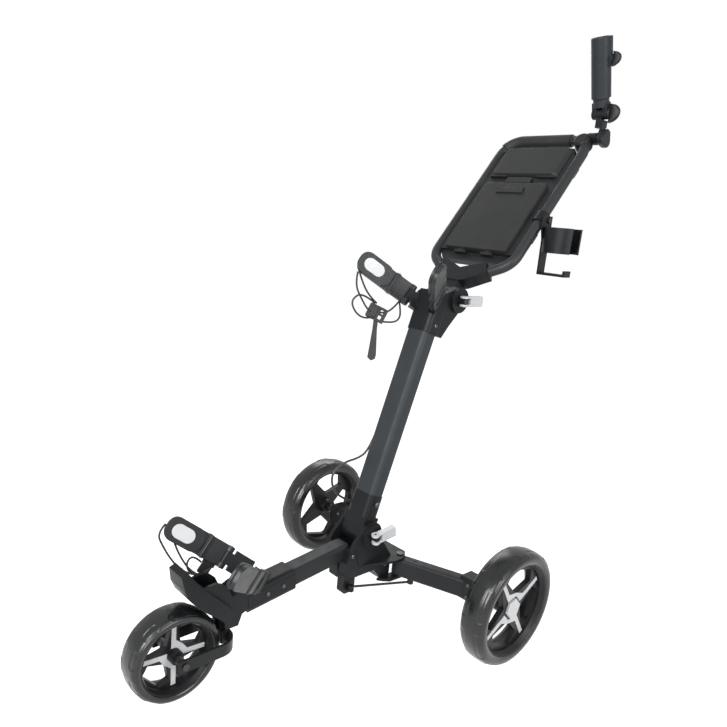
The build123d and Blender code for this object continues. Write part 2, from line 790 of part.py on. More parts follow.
eye_in = 16.4
eye_out = 31.0
eye_r = 28.0
up_seat = eye_out + 6.0
up_cam = up_seat + 9.6
head_from = 452.0
head_to = 540.0
cheek_up = [(-14, 640), (4, 634), (24, 658), (56, 690), (62, 716), (36, 738), (8, 730), (-22, 710)]
with BuildPart() as post_head:
    with BuildSketch(post_plane.offset(head_from)):
        with Locations((0, 2.4)):
            RectangleRounded(post_w + 7, post_t + 6.4, 14)
    extrude(amount=head_to - head_from)
    with BuildSketch(side_plane(eye_in)):
        Polygon(*stations(cheek_up), align=None)
        with Locations((up_y, up_z)):
            Circle(eye_r)
    extrude(amount=eye_out - eye_in)
    mirror(about=Plane.YZ)
    with BuildSketch(side_plane(eye_out)):
        with Locations((up_y, up_z)):
            Circle(eye_r - 1)
    extrude(amount=up_seat - eye_out)
    add(lug_of(high_height, high_root, high_joint))
    add(mirror(lug_of(high_height, high_root, high_joint), about=Plane.YZ))
    with BuildSketch(post_plane.offset(post_from)):
        RectangleRounded(post_w, post_t, 12)
    extrude(amount=post_to - post_from, mode=Mode.SUBTRACT)
    with BuildSketch(side_plane(-60)):
        with Locations((up_y, up_z)):
            Circle(bolt_r)
    extrude(amount=120, mode=Mode.SUBTRACT)
    with BuildSketch(side_plane(-eye_in)):
        with Locations((up_y, up_z)):
            Circle(eye_r + 2)
    extrude(amount=2 * eye_in, mode=Mode.SUBTRACT)
post_head.part.label = "post_head"
export_step(post_head.part, "parts/post_head.step")

# All the pins of the post: two upper arm pins and the upper clamp bolt
with BuildPart() as post_pins:
    add(pin_of(high_height, high_joint))
    add(mirror(pin_of(high_height, high_joint), about=Plane.YZ))
    add(clamp_of(up_cam, up_y, up_z, 0, eye_out))
post_pins.part.label = "post_pins"
export_step(post_pins.part, "parts/post_pins.step")

with BuildPart() as upper_lever:
    add(lever_of(up_cam, up_y, up_z, 0))
upper_lever.part.label = "upper_lever"
export_step(upper_lever.part, "parts/upper_lever.step")


# Handle: one bent loop of tube whose two lower ends are held in a moulded yoke
yoke_s = -294.0
yoke_x = 14.0


def loop_solid(r):
    with BuildPart() as made:
        with BuildLine(handle_plane) as path:
            FilletPolyline(
                (yoke_x, yoke_s), (handle_half, handle_low), (handle_half, handle_top),
                (-handle_half, handle_top), (-handle_half, handle_low), (-yoke_x, yoke_s), radius=44,
            )
        with BuildSketch(Plane(origin=path.line @ 0, z_dir=path.line % 0)):
            Circle(r)
        sweep()
    return made.part


with BuildPart() as handle_tube:
    add(loop_solid(handle_r))
handle_tube.part.label = "handle_tube"
export_step(handle_tube.part, "parts/handle_tube.step")

with BuildPart() as grip:
    with BuildLine(handle_plane) as bar:
        Line((62, handle_top), (44 - handle_half, handle_top))
        CenterArc((44 - handle_half, handle_top - 44), 44, 90, 62)
    with BuildSketch(Plane(origin=bar.line @ 0, z_dir=bar.line % 0)):
        Circle(grip_r)
        Circle(handle_r, mode=Mode.SUBTRACT)
    sweep()
grip.part.label = "grip"
export_step(grip.part, "parts/grip.step")

knuckle_half = eye_in - gap
with BuildPart() as handle_yoke:
    with BuildSketch(handle_plane.offset(-16)):
        with BuildLine():
            Polyline(
                (0, -272), (57, -250), (72, -275), (64, -279.5), (27, -303), (knuckle_half, -306),
                (-knuckle_half, -306), (-27, -303), (-64, -279.5), (-72, -275), (-57, -250), close=True,
            )
        make_face()
    extrude(amount=32)
    with BuildSketch(side_plane(-knuckle_half)):
        with Locations((up_y, up_z)):
            Circle(eye_r - 2)
    extrude(amount=2 * knuckle_half)
    with BuildSketch(handle_plane.offset(-16)):
        with Locations((0, -322)):
            Rectangle(2 * knuckle_half, 44)
    extrude(amount=30)
    add(loop_solid(handle_r), mode=Mode.SUBTRACT)
    with BuildSketch(side_plane(-60)):
        with Locations((up_y, up_z)):
            Circle(bolt_r + run)
    extrude(amount=120, mode=Mode.SUBTRACT)
handle_yoke.part.label = "handle_yoke"
export_step(handle_yoke.part, "parts/handle_yoke.step")

# Console: a tray between the tubes, a fixed pad, a hinged lid and a sliding latch
tray_half = 99.0
lid_half = 84.0
cup_s = -111.0
cup_band = 15.0
tray_low = -218.0
tray_top = 90.0
tray_deck = 6.0
lid_top = -22.0
lid_hinge = tray_low - 4.0
lid_axis = tray_deck + 1.0
lid_pin_r = 2.0
lid_at = handle_plane.from_local_coords(Vector(0, lid_hinge, lid_axis))
lid_spot = (lid_at.Y, lid_at.Z)
with BuildPart() as console_tray:
    with BuildSketch(handle_plane.offset(-20)):
        Polygon(
            (-tray_half, tray_low), (tray_half, tray_low), (tray_half, 58), (tray_half - 13, tray_top),
            (13 - tray_half, tray_top), (-tray_half, 58), align=None,
        )
    extrude(amount=20 + tray_deck)
    with BuildSketch(handle_plane.offset(-20)):
        Polygon(
            (-tray_half, tray_low), (tray_half, tray_low), (tray_half - 16, tray_low - 20),
            (16 - tray_half, tray_low - 20), align=None,
        )
    extrude(amount=18)
    with BuildSketch(handle_plane.offset(-17)):
        with Locations((0, (tray_low + lid_top) / 2)):
            RectangleRounded(2 * lid_half - 8, lid_top - tray_low - 8, 6)
    extrude(amount=60, mode=Mode.SUBTRACT)
    for s in (-150, 40):
        with BuildSketch(handle_plane.offset(-20)):
            with Locations((0, s)):
                Rectangle(2 * handle_half, 26)
                Rectangle(2 * tray_half - 4, 30, mode=Mode.SUBTRACT)
        extrude(amount=20)
    for x in (36, -36):
        with BuildSketch(side_plane(x - 15)):
            with Locations(lid_spot):
                Circle(4)
        extrude(amount=8)
        with BuildSketch(side_plane(x + 7)):
            with Locations(lid_spot):
                Circle(4)
        extrude(amount=8)
        with BuildSketch(handle_plane.offset(-16)):
            with Locations((x - 11, lid_hinge), (x + 11, lid_hinge)):
                Rectangle(8, 8)
        extrude(amount=16 + lid_axis)
    for x in (36, -36):
        with BuildSketch(side_plane(x - 15)):
            with Locations(lid_spot):
                Circle(lid_pin_r)
        extrude(amount=30)
    add(loop_solid(handle_r), mode=Mode.SUBTRACT)
    with BuildSketch(Plane(origin=handle_plane.from_local_coords(Vector(handle_half, cup_s - 13, 0)),
                           z_dir=handle_plane.y_dir)):
        Circle(cup_band + gap)
    extrude(amount=26, mode=Mode.SUBTRACT)
console_tray.part.label = "console_tray"
export_step(console_tray.part, "parts/console_tray.step")

lid_face = 15.0
with BuildPart() as console_lid:
    with BuildSketch(handle_plane.offset(tray_deck + gap)):
        with Locations((0, (tray_low + lid_top) / 2)):
            RectangleRounded(2 * lid_half, lid_top - tray_low, 10)
    extrude(amount=lid_face - tray_deck - gap, taper=12)
    with BuildSketch(handle_plane.offset(lid_face)):
        with Locations((0, lid_top - 24)):
            SlotOverall(74, 16)
            SlotOverall(52, 7, mode=Mode.SUBTRACT)
    extrude(amount=-2, mode=Mode.SUBTRACT)
    for x in (36, -36):
        with BuildSketch(side_plane(x - 6.6)):
            with Locations(lid_spot):
                Circle(4)
        extrude(amount=13.2)
        with BuildSketch(handle_plane.offset(tray_deck + gap)):
            with Locations((x, lid_hinge + 4)):
                Rectangle(13.2, 8)
        extrude(amount=4)
        with BuildSketch(side_plane(x - 20)):
            with Locations(lid_spot):
                Circle(lid_pin_r + run)
        extrude(amount=40, mode=Mode.SUBTRACT)
console_lid.part.label = "console_lid"
export_step(console_lid.part, "parts/console_lid.step")

with BuildPart() as console_pad:
    with BuildSketch(handle_plane.offset(tray_deck)):
        with Locations((0, 46)):
            RectangleRounded(177, 88, 9)
    with BuildSketch(handle_plane.offset(tray_deck + 9)):
        with Locations((0, 45)):
            RectangleRounded(162, 78, 9)
    loft()
console_pad.part.label = "console_pad"
export_step(console_pad.part, "parts/console_pad.step")

with BuildPart() as console_latch:
    with BuildSketch(handle_plane.offset(tray_deck + gap)):
        with Locations((0, -12.4)):
            RectangleRounded(66, 17, 4)
    extrude(amount=7)
    fillet(console_latch.faces().filter_by(GeomType.PLANE).sort_by(Axis.Z)[-1].edges(), 1.2)
console_latch.part.label = "console_latch"
export_step(console_latch.part, "parts/console_latch.step")

# Cup holder on the left handle tube: band clamp, drop plate with foot, open ring
cup_n = -3.0
cup_spot = handle_plane.from_local_coords(Vector(0, cup_s, cup_n))
cup_x = handle_half + cup_band + gap
cup_t = 3.5
ring_r = 38.0
ring_x = cup_x + ring_r
ring_y = cup_spot.Y + 4
with BuildPart() as cup_clamp:
    with BuildSketch(Plane(origin=handle_plane.from_local_coords(Vector(handle_half, cup_s - 12, 0)),
                           z_dir=handle_plane.y_dir)):
        Circle(cup_band)
        Circle(handle_r, mode=Mode.SUBTRACT)
    extrude(amount=24)
    with BuildSketch(side_plane(handle_half)):
        with Locations((cup_spot.Y, cup_spot.Z)):
            Circle(9)
    extrude(amount=cup_band)
    add(loop_solid(handle_r), mode=Mode.SUBTRACT)
    with BuildSketch(side_plane(handle_half + handle_r + 0.2)):
        with Locations((cup_spot.Y, cup_spot.Z)):
            Circle(3)
    extrude(amount=20, mode=Mode.SUBTRACT)
cup_clamp.part.label = "cup_clamp"
export_step(cup_clamp.part, "parts/cup_clamp.step")

with BuildPart() as cup_holder:
    with BuildSketch(side_plane(cup_x)):
        with BuildLine():
            Polyline(*[(cup_spot.Y + y, cup_spot.Z + z) for y, z in
                       ((-22, 9), (12, 9), (12, -112), (-12, -112), (-14, -40), (-22, -16))], close=True)
        make_face()
    extrude(amount=cup_t)
    with BuildSketch(Plane.XY.offset(cup_spot.Z - 112)):
        with Locations((cup_x + 33, cup_spot.Y)):
            RectangleRounded(66, 24, 3)
    extrude(amount=5)
    with BuildSketch(Plane.XY.offset(cup_spot.Z - 112)):
        with Locations((cup_x + 63.5, cup_spot.Y)):
            Rectangle(5, 24)
    extrude(amount=13)
    with BuildSketch(Plane.XY.offset(cup_spot.Z - 65)):
        with Locations((ring_x, ring_y)):
            Circle(ring_r)
            Circle(ring_r - 3, mode=Mode.SUBTRACT)
            Polygon((0, 0), polar(70, 28), polar(70, -28), align=None, mode=Mode.SUBTRACT)
    extrude(amount=52)
    with BuildSketch(side_plane(cup_x - 5)):
        with Locations((cup_spot.Y, cup_spot.Z)):
            Circle(3 + run)
    extrude(amount=20, mode=Mode.SUBTRACT)
cup_holder.part.label = "cup_holder"
export_step(cup_holder.part, "parts/cup_holder.step")

# Umbrella holder on the left top corner: clamp, swivel link, tilting tube and three knobs
base_spot = handle_plane.from_local_coords(Vector(0, handle_top + 17.643, -12.042))
base_y = base_spot.Y
base_z = base_spot.Z
tilt_x = 104.0
tilt_y = base_y + 10
tilt_z = base_z + 54
holder_lean = 20.6
holder_r = 20.5
holder_bore = 16.0
holder_from = 32.0
holder_len = 120.0
disc_r = 12.5
eye_half = 6.0
ear_t = 11.6
stud_r = 4.0
tilt_r = 3.5
screw_r = 3.0
screw_up = 108.0
link_x = 112.4
holder_dir = Vector(0, -sin(radians(holder_lean)), cos(radians(holder_lean)))
holder_plane = Plane(origin=(tilt_x, tilt_y, tilt_z), x_dir=(1, 0, 0), z_dir=holder_dir)
screw_spot = holder_plane.from_local_coords(Vector(0, 0, screw_up))


def tilt_plane(x):
    return Plane(origin=(tilt_x + x, tilt_y, tilt_z), x_dir=(0, 1, 0), z_dir=(1, 0, 0))


with BuildPart() as umbrella_clamp:
    with BuildSketch(handle_plane.offset(-19)):
        with Locations((92, handle_top - 8)):
            Circle(18)
    extrude(amount=34)
    fillet(umbrella_clamp.edges().filter_by(GeomType.CIRCLE), 6)
    with BuildSketch(side_plane(90)):
        with Locations((base_y, base_z)):
            Circle(13)
    extrude(amount=link_x - gap - 90)
    add(loop_solid(handle_r), mode=Mode.SUBTRACT)
    with BuildSketch(side_plane(link_x - gap - 10)):
        with Locations((base_y, base_z)):
            Circle(stud_r)
    extrude(amount=40, mode=Mode.SUBTRACT)
umbrella_clamp.part.label = "umbrella_clamp"
export_step(umbrella_clamp.part, "parts/umbrella_clamp.step")

# Screw of the cup holder and stud of the umbrella holder, both fixed in their clamps
with BuildPart() as handle_screws:
    with BuildSketch(side_plane(link_x - gap - 10)):
        with Locations((base_y, base_z)):
            Circle(stud_r)
    extrude(amount=30)
    with BuildSketch(side_plane(handle_half + handle_r + 0.2)):
        with Locations((cup_spot.Y, cup_spot.Z)):
            Circle(3)
    extrude(amount=cup_band - handle_r - 0.2 + cup_t + 2 * gap)
    with BuildSketch(side_plane(cup_x + cup_t + gap)):
        with Locations((cup_spot.Y, cup_spot.Z)):
            Circle(6)
    extrude(amount=3.5)
handle_screws.part.label = "handle_screws"
export_step(handle_screws.part, "parts/handle_screws.step")

with BuildPart() as umbrella_link:
    with BuildSketch(side_plane(link_x)):
        with BuildLine():
            Line((base_y, base_z), (tilt_y, tilt_z - 18))
        trace(line_width=15)
        with Locations((base_y, base_z)):
            Circle(12)
    extrude(amount=6)
    with BuildSketch(Plane.XY.offset(tilt_z - 30)):
        with Locations(((link_x + 6 + tilt_x - eye_half) / 2, tilt_y)):
            Rectangle(link_x + 6 - tilt_x + eye_half, 15)
    extrude(amount=15)
    with BuildSketch(Plane.XY.offset(tilt_z - 16)):
        with Locations((tilt_x, tilt_y)):
            Rectangle(2 * eye_half, 15)
    extrude(amount=16)
    with BuildSketch(tilt_plane(-eye_half)):
        Circle(disc_r)
    extrude(amount=2 * eye_half)
    with BuildSketch(tilt_plane(-eye_half - gap - ear_t)):
        Circle(tilt_r)
    extrude(amount=50)
    with BuildSketch(side_plane(link_x - 5)):
        with Locations((base_y, base_z)):
            Circle(stud_r + run)
    extrude(amount=20, mode=Mode.SUBTRACT)
umbrella_link.part.label = "umbrella_link"
export_step(umbrella_link.part, "parts/umbrella_link.step")

with BuildPart() as umbrella_tube:
    for x in (-eye_half - gap - ear_t, eye_half + gap):
        with BuildSketch(tilt_plane(x)):
            Circle(disc_r)
        extrude(amount=ear_t)
        with BuildSketch(holder_plane):
            with Locations((x + ear_t / 2, 0)):
                Rectangle(ear_t, 18)
        extrude(amount=24)
    with BuildSketch(holder_plane.offset(14.5)):
        Circle(18)
    extrude(amount=holder_from - 12)
    with BuildSketch(holder_plane.offset(holder_from)):
        Circle(holder_r)
    extrude(amount=holder_len)
    with BuildSketch(holder_plane.offset(holder_from + holder_len - 56)):
        with Locations((holder_r + 1, 0)):
            Rectangle(6, 9)
    extrude(amount=56)
    with BuildSketch(holder_plane.offset(holder_from + 10)):
        Circle(holder_bore)
    extrude(amount=holder_len, mode=Mode.SUBTRACT)
    with BuildSketch(tilt_plane(-40)):
        Circle(tilt_r + run)
    extrude(amount=80, mode=Mode.SUBTRACT)
    with BuildSketch(Plane(origin=screw_spot, z_dir=(1, 0, 0))):
        Circle(screw_r + run)
    extrude(amount=60, mode=Mode.SUBTRACT)
umbrella_tube.part.label = "umbrella_tube"
export_step(umbrella_tube.part, "parts/umbrella_tube.step")

with BuildPart() as base_knob:
    with BuildSketch(side_plane(link_x + 6 + gap)):
        with Locations((base_y, base_z)):
            Circle(17)
            RegularPolygon(26, 3, rotation=15, mode=Mode.INTERSECT)
    extrude(amount=15)
    fillet(base_knob.faces().sort_by(Axis.X)[-1].edges(), 3)
    with BuildSketch(side_plane(link_x)):
        with Locations((base_y, base_z)):
            Circle(stud_r + run)
    extrude(amount=20.5, mode=Mode.SUBTRACT)
base_knob.part.label = "base_knob"
export_step(base_knob.part, "parts/base_knob.step")

knob_x = eye_half + gap + ear_t + gap
with BuildPart() as tilt_knob:
    with BuildSketch(tilt_plane(knob_x)):
        Circle(11)
    extrude(amount=8)
    with BuildSketch(Plane(origin=(tilt_x, tilt_y, tilt_z), x_dir=(1, 0, 0), z_dir=(0, -1, 0))):
        with BuildLine():
            Line((knob_x + 6, 14), (knob_x + 6, -14))
            ThreePointArc((knob_x + 6, -14), (45, 0), (knob_x + 6, 14))
        make_face()
    extrude(amount=3, both=True)
    with BuildSketch(tilt_plane(0)):
        Circle(tilt_r + run)
    extrude(amount=50 - eye_half - gap - ear_t + 0.5, mode=Mode.SUBTRACT)
tilt_knob.part.label = "tilt_knob"
export_step(tilt_knob.part, "parts/tilt_knob.step")

with BuildPart() as tube_knob:
    with BuildSketch(Plane(origin=screw_spot + Vector(holder_bore + 0.6, 0, 0), z_dir=(1, 0, 0))):
        Circle(screw_r)
    extrude(amount=16)
    with BuildSketch(Plane(origin=screw_spot + Vector(holder_r + 4.4, 0, 0), z_dir=(1, 0, 0))):
        Circle(8)
    extrude(amount=6)
    with BuildSketch(Plane(origin=screw_spot, x_dir=(1, 0, 0), z_dir=(0, -holder_dir.Z, holder_dir.Y))):
        with BuildLine():
            Line((holder_r + 8.5, 12), (holder_r + 8.5, -12))
            ThreePointArc((holder_r + 8.5, -12), (holder_r + 25.5, 0), (holder_r + 8.5, 12))
        make_face()
    extrude(amount=2.5, both=True)
tube_knob.part.label = "tube_knob"
export_step(tube_knob.part, "parts/tube_knob.step")


# Cords: straight runs joined by arcs, through points given from the axle line
cord_r = 2.0
cable_r = 2.5


def cord_of(points, r):
    route = [Vector(x, axle_y + y, z) for x, y, z in points]
    radii = []
    for a, b, c in zip(route, route[1:], route[2:]):
        turn = (b - a).get_angle(c - b)
        radii.append(0.45 * min((b - a).length, (c - b).length) / tan(radians(turn / 2)))
    print("bend radii", [round(x, 1) for x in radii])
    with BuildPart() as made:
        with BuildLine() as path:
            FilletPolyline(*route, radius=radii)
        with BuildSketch(Plane(origin=path.line @ 0, z_dir=path.line % 0)):
            Circle(r)
        sweep()
    return made.part


upper_route = [
    (-103, -129.6, 758.6), (-106, -132, 731), (-102, -112, 700), (-97, -93, 674), (-86, -70, 672),
    (-68, -55, 678), (-46, -56, 702.4),
]
lower_route = [
    (-101, -565.5, 290.5), (-102, -583, 275), (-100, -571, 245), (-96, -556, 215), (-88, -539, 192),
    (-78, -519, 180), (-66, -497, 184), (-59.6, -483.7, 199.5),
]
cable_route = [
    (-30.7, -104, 416), (-30.7, -121, 380), (-34, -146, 367), (-38, -180, 363), (-42, -206, 348),
    (-42, -212, 324), (-40, -199, 295), (-36, -172, 276), (-32.2, -145, 262),
]

with BuildPart() as upper_cord:
    add(cord_of(upper_route, cord_r))
upper_cord.part.label = "upper_cord"
export_step(upper_cord.part, "parts/upper_cord.step")

with BuildPart() as lower_cord:
    add(cord_of(lower_route, cord_r))
lower_cord.part.label = "lower_cord"
export_step(lower_cord.part, "parts/lower_cord.step")

with BuildPart() as brake_cable:
    add(cord_of(cable_route, cable_r))
brake_cable.part.label = "brake_cable"
export_step(brake_cable.part, "parts/brake_cable.step")

# Buckle on the upper cord with its pull tab
hook_plane = Plane(origin=(-90, axle_y - 76, 671), x_dir=(0.66, 0.75, 0), z_dir=(0.75, -0.66, 0))
with BuildPart() as upper_hook:
    with BuildSketch(hook_plane):
        with Locations((0, 1)):
            RectangleRounded(42, 34, 5)
        with Locations((9, 2)):
            RectangleRounded(5, 9, 1.5, mode=Mode.SUBTRACT)
    extrude(amount=7, both=True)
    with BuildSketch(hook_plane):
        with BuildLine():
            Polyline((-6, -14), (6, -14), (6, -34), (10, -98), (-4, -106), (-12, -98), (-6, -34), close=True)
        make_face()
    extrude(amount=1.5, both=True)
    add(cord_of(upper_route, cord_r), mode=Mode.SUBTRACT)
upper_hook.part.label = "upper_hook"
export_step(upper_hook.part, "parts/upper_hook.step")
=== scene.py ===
from math import cos, pi, radians, sin

import bmesh
import bpy
from mathutils import Matrix, Vector


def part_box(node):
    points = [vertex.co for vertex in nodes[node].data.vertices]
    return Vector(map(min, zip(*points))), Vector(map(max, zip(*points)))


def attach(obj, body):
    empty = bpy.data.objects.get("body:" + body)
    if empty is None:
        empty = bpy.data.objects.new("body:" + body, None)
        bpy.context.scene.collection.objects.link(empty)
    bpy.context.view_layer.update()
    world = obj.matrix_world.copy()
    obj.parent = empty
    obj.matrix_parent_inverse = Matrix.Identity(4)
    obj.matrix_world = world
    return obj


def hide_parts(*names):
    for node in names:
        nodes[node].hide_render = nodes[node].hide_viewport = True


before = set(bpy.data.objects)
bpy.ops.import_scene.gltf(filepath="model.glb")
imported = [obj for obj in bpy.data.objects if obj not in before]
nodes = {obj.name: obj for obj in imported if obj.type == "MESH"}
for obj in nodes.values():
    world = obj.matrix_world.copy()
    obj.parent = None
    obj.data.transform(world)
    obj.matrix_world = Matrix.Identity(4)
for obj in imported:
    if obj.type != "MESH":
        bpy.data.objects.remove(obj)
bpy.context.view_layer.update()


# Chassis mouldings: the hub with the folding hinge and leg roots, and the head casting with the bag tray.
# Both are injection-moulded in black glass-filled nylon with a fine spark-eroded grain.
# The mould rounds their edges, and a thin line of light along them is a painted highlight in their colour.
def shader_of(name):
    """A new material with its node tree and its shader."""
    material = bpy.data.materials.new(name)
    material.use_nodes = True
    tree = material.node_tree
    return material, tree, tree.nodes["Principled BSDF"]


def noise_of(tree, scale, detail, rough=0.5):
    """A cloudy pattern that is fixed to the piece."""
    place = tree.nodes.new("ShaderNodeTexCoord")
    noise = tree.nodes.new("ShaderNodeTexNoise")
    noise.inputs["Scale"].default_value = scale
    noise.inputs["Detail"].default_value = detail
    noise.inputs["Roughness"].default_value = rough
    tree.links.new(place.outputs["Object"], noise.inputs["Vector"])
    return noise.outputs["Fac"]


# Nearly all of a cloudy pattern lies between these two values
cloud_low, cloud_high = 0.3, 0.7


def ramp_of(tree, source, dark, light):
    """Two tones spread over a cloudy pattern."""
    ramp = tree.nodes.new("ShaderNodeValToRGB")
    low_stop, high_stop = ramp.color_ramp.elements
    low_stop.position = cloud_low
    low_stop.color = (*dark, 1)
    high_stop.position = cloud_high
    high_stop.color = (*light, 1)
    tree.links.new(source, ramp.inputs["Fac"])
    return ramp.outputs["Color"]


def range_of(tree, source, low, high, from_low=cloud_low, from_high=cloud_high):
    """Values of the source between from_low and from_high, spread from low to high."""
    spread = tree.nodes.new("ShaderNodeMapRange")
    spread.inputs["From Min"].default_value = from_low
    spread.inputs["From Max"].default_value = from_high
    spread.inputs["To Min"].default_value = low
    spread.inputs["To Max"].default_value = high
    tree.links.new(source, spread.inputs["Value"])
    return spread.outputs["Result"]


def tint(colour, share):
    """A darker or lighter tone of a colour."""
    return tuple(min(1.0, c * share) for c in colour)


def finish_of(name, colour, rough, grain, depth, edge=0.0, round_edge=0.001, vary=0.16, metal=0.0,
              gloss=0.5):
    """A moulded or coated surface: cloudy tone, grain in the bump, rounded edges with a painted highlight.
    """
    cloud = 14
    rough_spread = 0.06
    highlight_tint = 2.4
    edge_match, flat_match = 0.8, 0.99
    grain_strength = 0.6
    material, tree, shader = shader_of(name)
    tone = ramp_of(tree, noise_of(tree, cloud, detail=3), tint(colour, 1 - vary), tint(colour, 1 + vary))
    bevel = tree.nodes.new("ShaderNodeBevel")
    bevel.samples = 4
    bevel.inputs["Radius"].default_value = round_edge
    # Painted highlight: the base colour is made lighter where the bevelled normal turns away from the face.
    if edge > 0:
        geometry = tree.nodes.new("ShaderNodeNewGeometry")
        match = tree.nodes.new("ShaderNodeVectorMath")
        match.operation = "DOT_PRODUCT"
        tree.links.new(bevel.outputs["Normal"], match.inputs[0])
        tree.links.new(geometry.outputs["Normal"], match.inputs[1])
        edge_highlight = range_of(tree, match.outputs["Value"], edge, 0.0, edge_match, flat_match)
        highlit = tree.nodes.new("ShaderNodeMix")
        highlit.data_type = "RGBA"
        highlit.inputs["B"].default_value = (*tint(colour, highlight_tint), 1)
        tree.links.new(edge_highlight, highlit.inputs["Factor"])
        tree.links.new(tone, highlit.inputs["A"])
        tone = highlit.outputs["Result"]
    tree.links.new(tone, shader.inputs["Base Color"])
    patches = noise_of(tree, 3 * cloud, detail=4)
    sheen = range_of(tree, patches, rough - rough_spread, rough + rough_spread)
    tree.links.new(sheen, shader.inputs["Roughness"])
    bump = tree.nodes.new("ShaderNodeBump")
    bump.inputs["Strength"].default_value = grain_strength
    bump.inputs["Distance"].default_value = depth
    tree.links.new(noise_of(tree, grain, detail=3, rough=0.6), bump.inputs["Height"])
    tree.links.new(bevel.outputs["Normal"], bump.inputs["Normal"])
    tree.links.new(bump.outputs["Normal"], shader.inputs["Normal"])
    shader.inputs["Metallic"].default_value = metal
    shader.inputs["Specular IOR Level"].default_value = gloss
    return material


def paint(material, *names):
    """Gives the named pieces of the frame their finish."""
    for name in names:
        nodes[name].data.materials.clear()
        nodes[name].data.materials.append(material)


black_nylon = finish_of("black_nylon", (0.0062, 0.0069, 0.0078), rough=0.42, grain=900, depth=0.0002,
                        edge=0.5, gloss=0.16)
paint(black_nylon, "hub_housing", "head_casting")


# Chassis screws: domed screws that hold the hinge cheeks to the hub, and the front tube in the hub's socket.
# Zinc-plated steel, each with a driver socket sunk in its head, and the same on both sides of the cart.
both_sides = (("left", 1), ("right", -1))


def cover_rings(mesh, rings):
    """Faces between neighbouring rings of points, and one over each end."""
    for a, b in zip(rings, rings[1:]):
        for k in range(len(a)):
            n = (k + 1) % len(a)
            mesh.faces.new((a[k], a[n], b[n], b[k]))
    mesh.faces.new(rings[0])
    mesh.faces.new(rings[-1])


def lathe(mesh, outline, place, count=48):
    """Turns an outline of (radius, height) pairs about the Z axis of a placing matrix."""
    rings = []
    for r, z in outline:
        rings.append([
            mesh.verts.new(place @ Vector((r * cos(2 * pi * k / count), r * sin(2 * pi * k / count), z)))
            for k in range(count)
        ])
    cover_rings(mesh, rings)


def aim(spot, axis):
    """A placing matrix at a spot, with its Z axis along the given one."""
    return Matrix.Translation(spot) @ Vector(axis).to_track_quat("Z", "Y").to_matrix().to_4x4()


def smooth_mesh(name, mesh, material):
    """A finished mesh with smooth faces and one material."""
    bmesh.ops.recalc_face_normals(mesh, faces=mesh.faces)
    data = bpy.data.meshes.new(name)
    mesh.to_mesh(data)
    mesh.free()
    data.polygons.foreach_set("use_smooth", [True] * len(data.polygons))
    data.materials.append(material)
    return data


def piece_of(name, mesh, material, body, stands_for=None):
    """A piece with crisp creases that moves with a body and may stand for a node of the frame."""
    crease = radians(38)
    data = smooth_mesh(name, mesh, material)
    data.set_sharp_from_angle(angle=crease)
    piece = bpy.data.objects.new(name, data)
    bpy.context.scene.collection.objects.link(piece)
    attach(piece, body)
    if stands_for:
        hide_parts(stands_for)


def screws_of(name, spots, axis, r, body):
    """Domed screw heads of radius r with a driver socket sunk in the top."""
    seat = -0.0005
    facets = 24
    head = [(r, seat), (r, 0.3 * r), (0.8 * r, 0.5 * r), (0.42 * r, 0.55 * r), (0.38 * r, 0.1 * r)]
    mesh = bmesh.new()
    for spot in spots:
        lathe(mesh, head, aim(spot, axis), facets)
    piece_of(name, mesh, screw_steel, body)


screw_steel = finish_of("screw_steel", (0.10, 0.10, 0.105), rough=0.32, grain=900, depth=0.00005,
                        metal=0.9)
cheek_x, cheek_screw_r = 0.038, 0.0042
cheek_screws = ((0.052, 0.131), (-0.051, 0.180))
socket_x, socket_screw_r = 0.025, 0.004
socket_screws = ((-0.222, 0.160), (-0.259, 0.155))
for word, side in both_sides:
    for name, x, spots, r in (
        ("cheek_screws_", cheek_x, cheek_screws, cheek_screw_r),
        ("socket_screws_", socket_x, socket_screws, socket_screw_r),
    ):
        screws_of(name + word, [(side * x, y, z) for y, z in spots], (side, 0, 0), r, "chassis")


# Cheek ribs: two low stiffening ribs on the outer face of each hinge cheek, run down towards the leg root.
# They are moulded in one with the hub, in the same black nylon.
def plate(mesh, outline, place, low, high, soft):
    """A flat plate with the given outline, its rim stepped in by soft at both faces."""
    middle = sum((Vector(p) for p in outline), Vector((0, 0))) / len(outline)
    rings = []
    for z, inset in ((low, soft), (low + soft, 0.0), (high - soft, 0.0), (high, soft)):
        ring = []
        for p in outline:
            away = Vector(p) - middle
            spot = middle + away * (1 - inset / away.length)
            ring.append(mesh.verts.new(place @ Vector((spot.x, spot.y, z))))
        rings.append(ring)
    cover_rings(mesh, rings)


cheek_rib_half, cheek_rib_soft = 0.0011, 0.0003
cheek_rib_seat, cheek_rib_top = -0.0005, 0.0012
cheek_rib_runs = (((-0.013, 0.184), (0.010, 0.146)), ((-0.043, 0.190), (-0.030, 0.150)))
for word, side in both_sides:
    cheek_face = Matrix(((0, 0, side, side * cheek_x), (1, 0, 0, 0), (0, 1, 0, 0), (0, 0, 0, 1)))
    ribs = bmesh.new()
    for ends in cheek_rib_runs:
        top, foot = (Vector(end) for end in ends)
        slant = (foot - top).normalized() * cheek_rib_half
        wide = Vector((-slant.y, slant.x))
        rib_line = [top + wide, foot + wide, foot - wide, top - wide]
        plate(ribs, rib_line, cheek_face, cheek_rib_seat, cheek_rib_top, cheek_rib_soft)
    piece_of("cheek_ribs_" + word, ribs, black_nylon, "chassis")
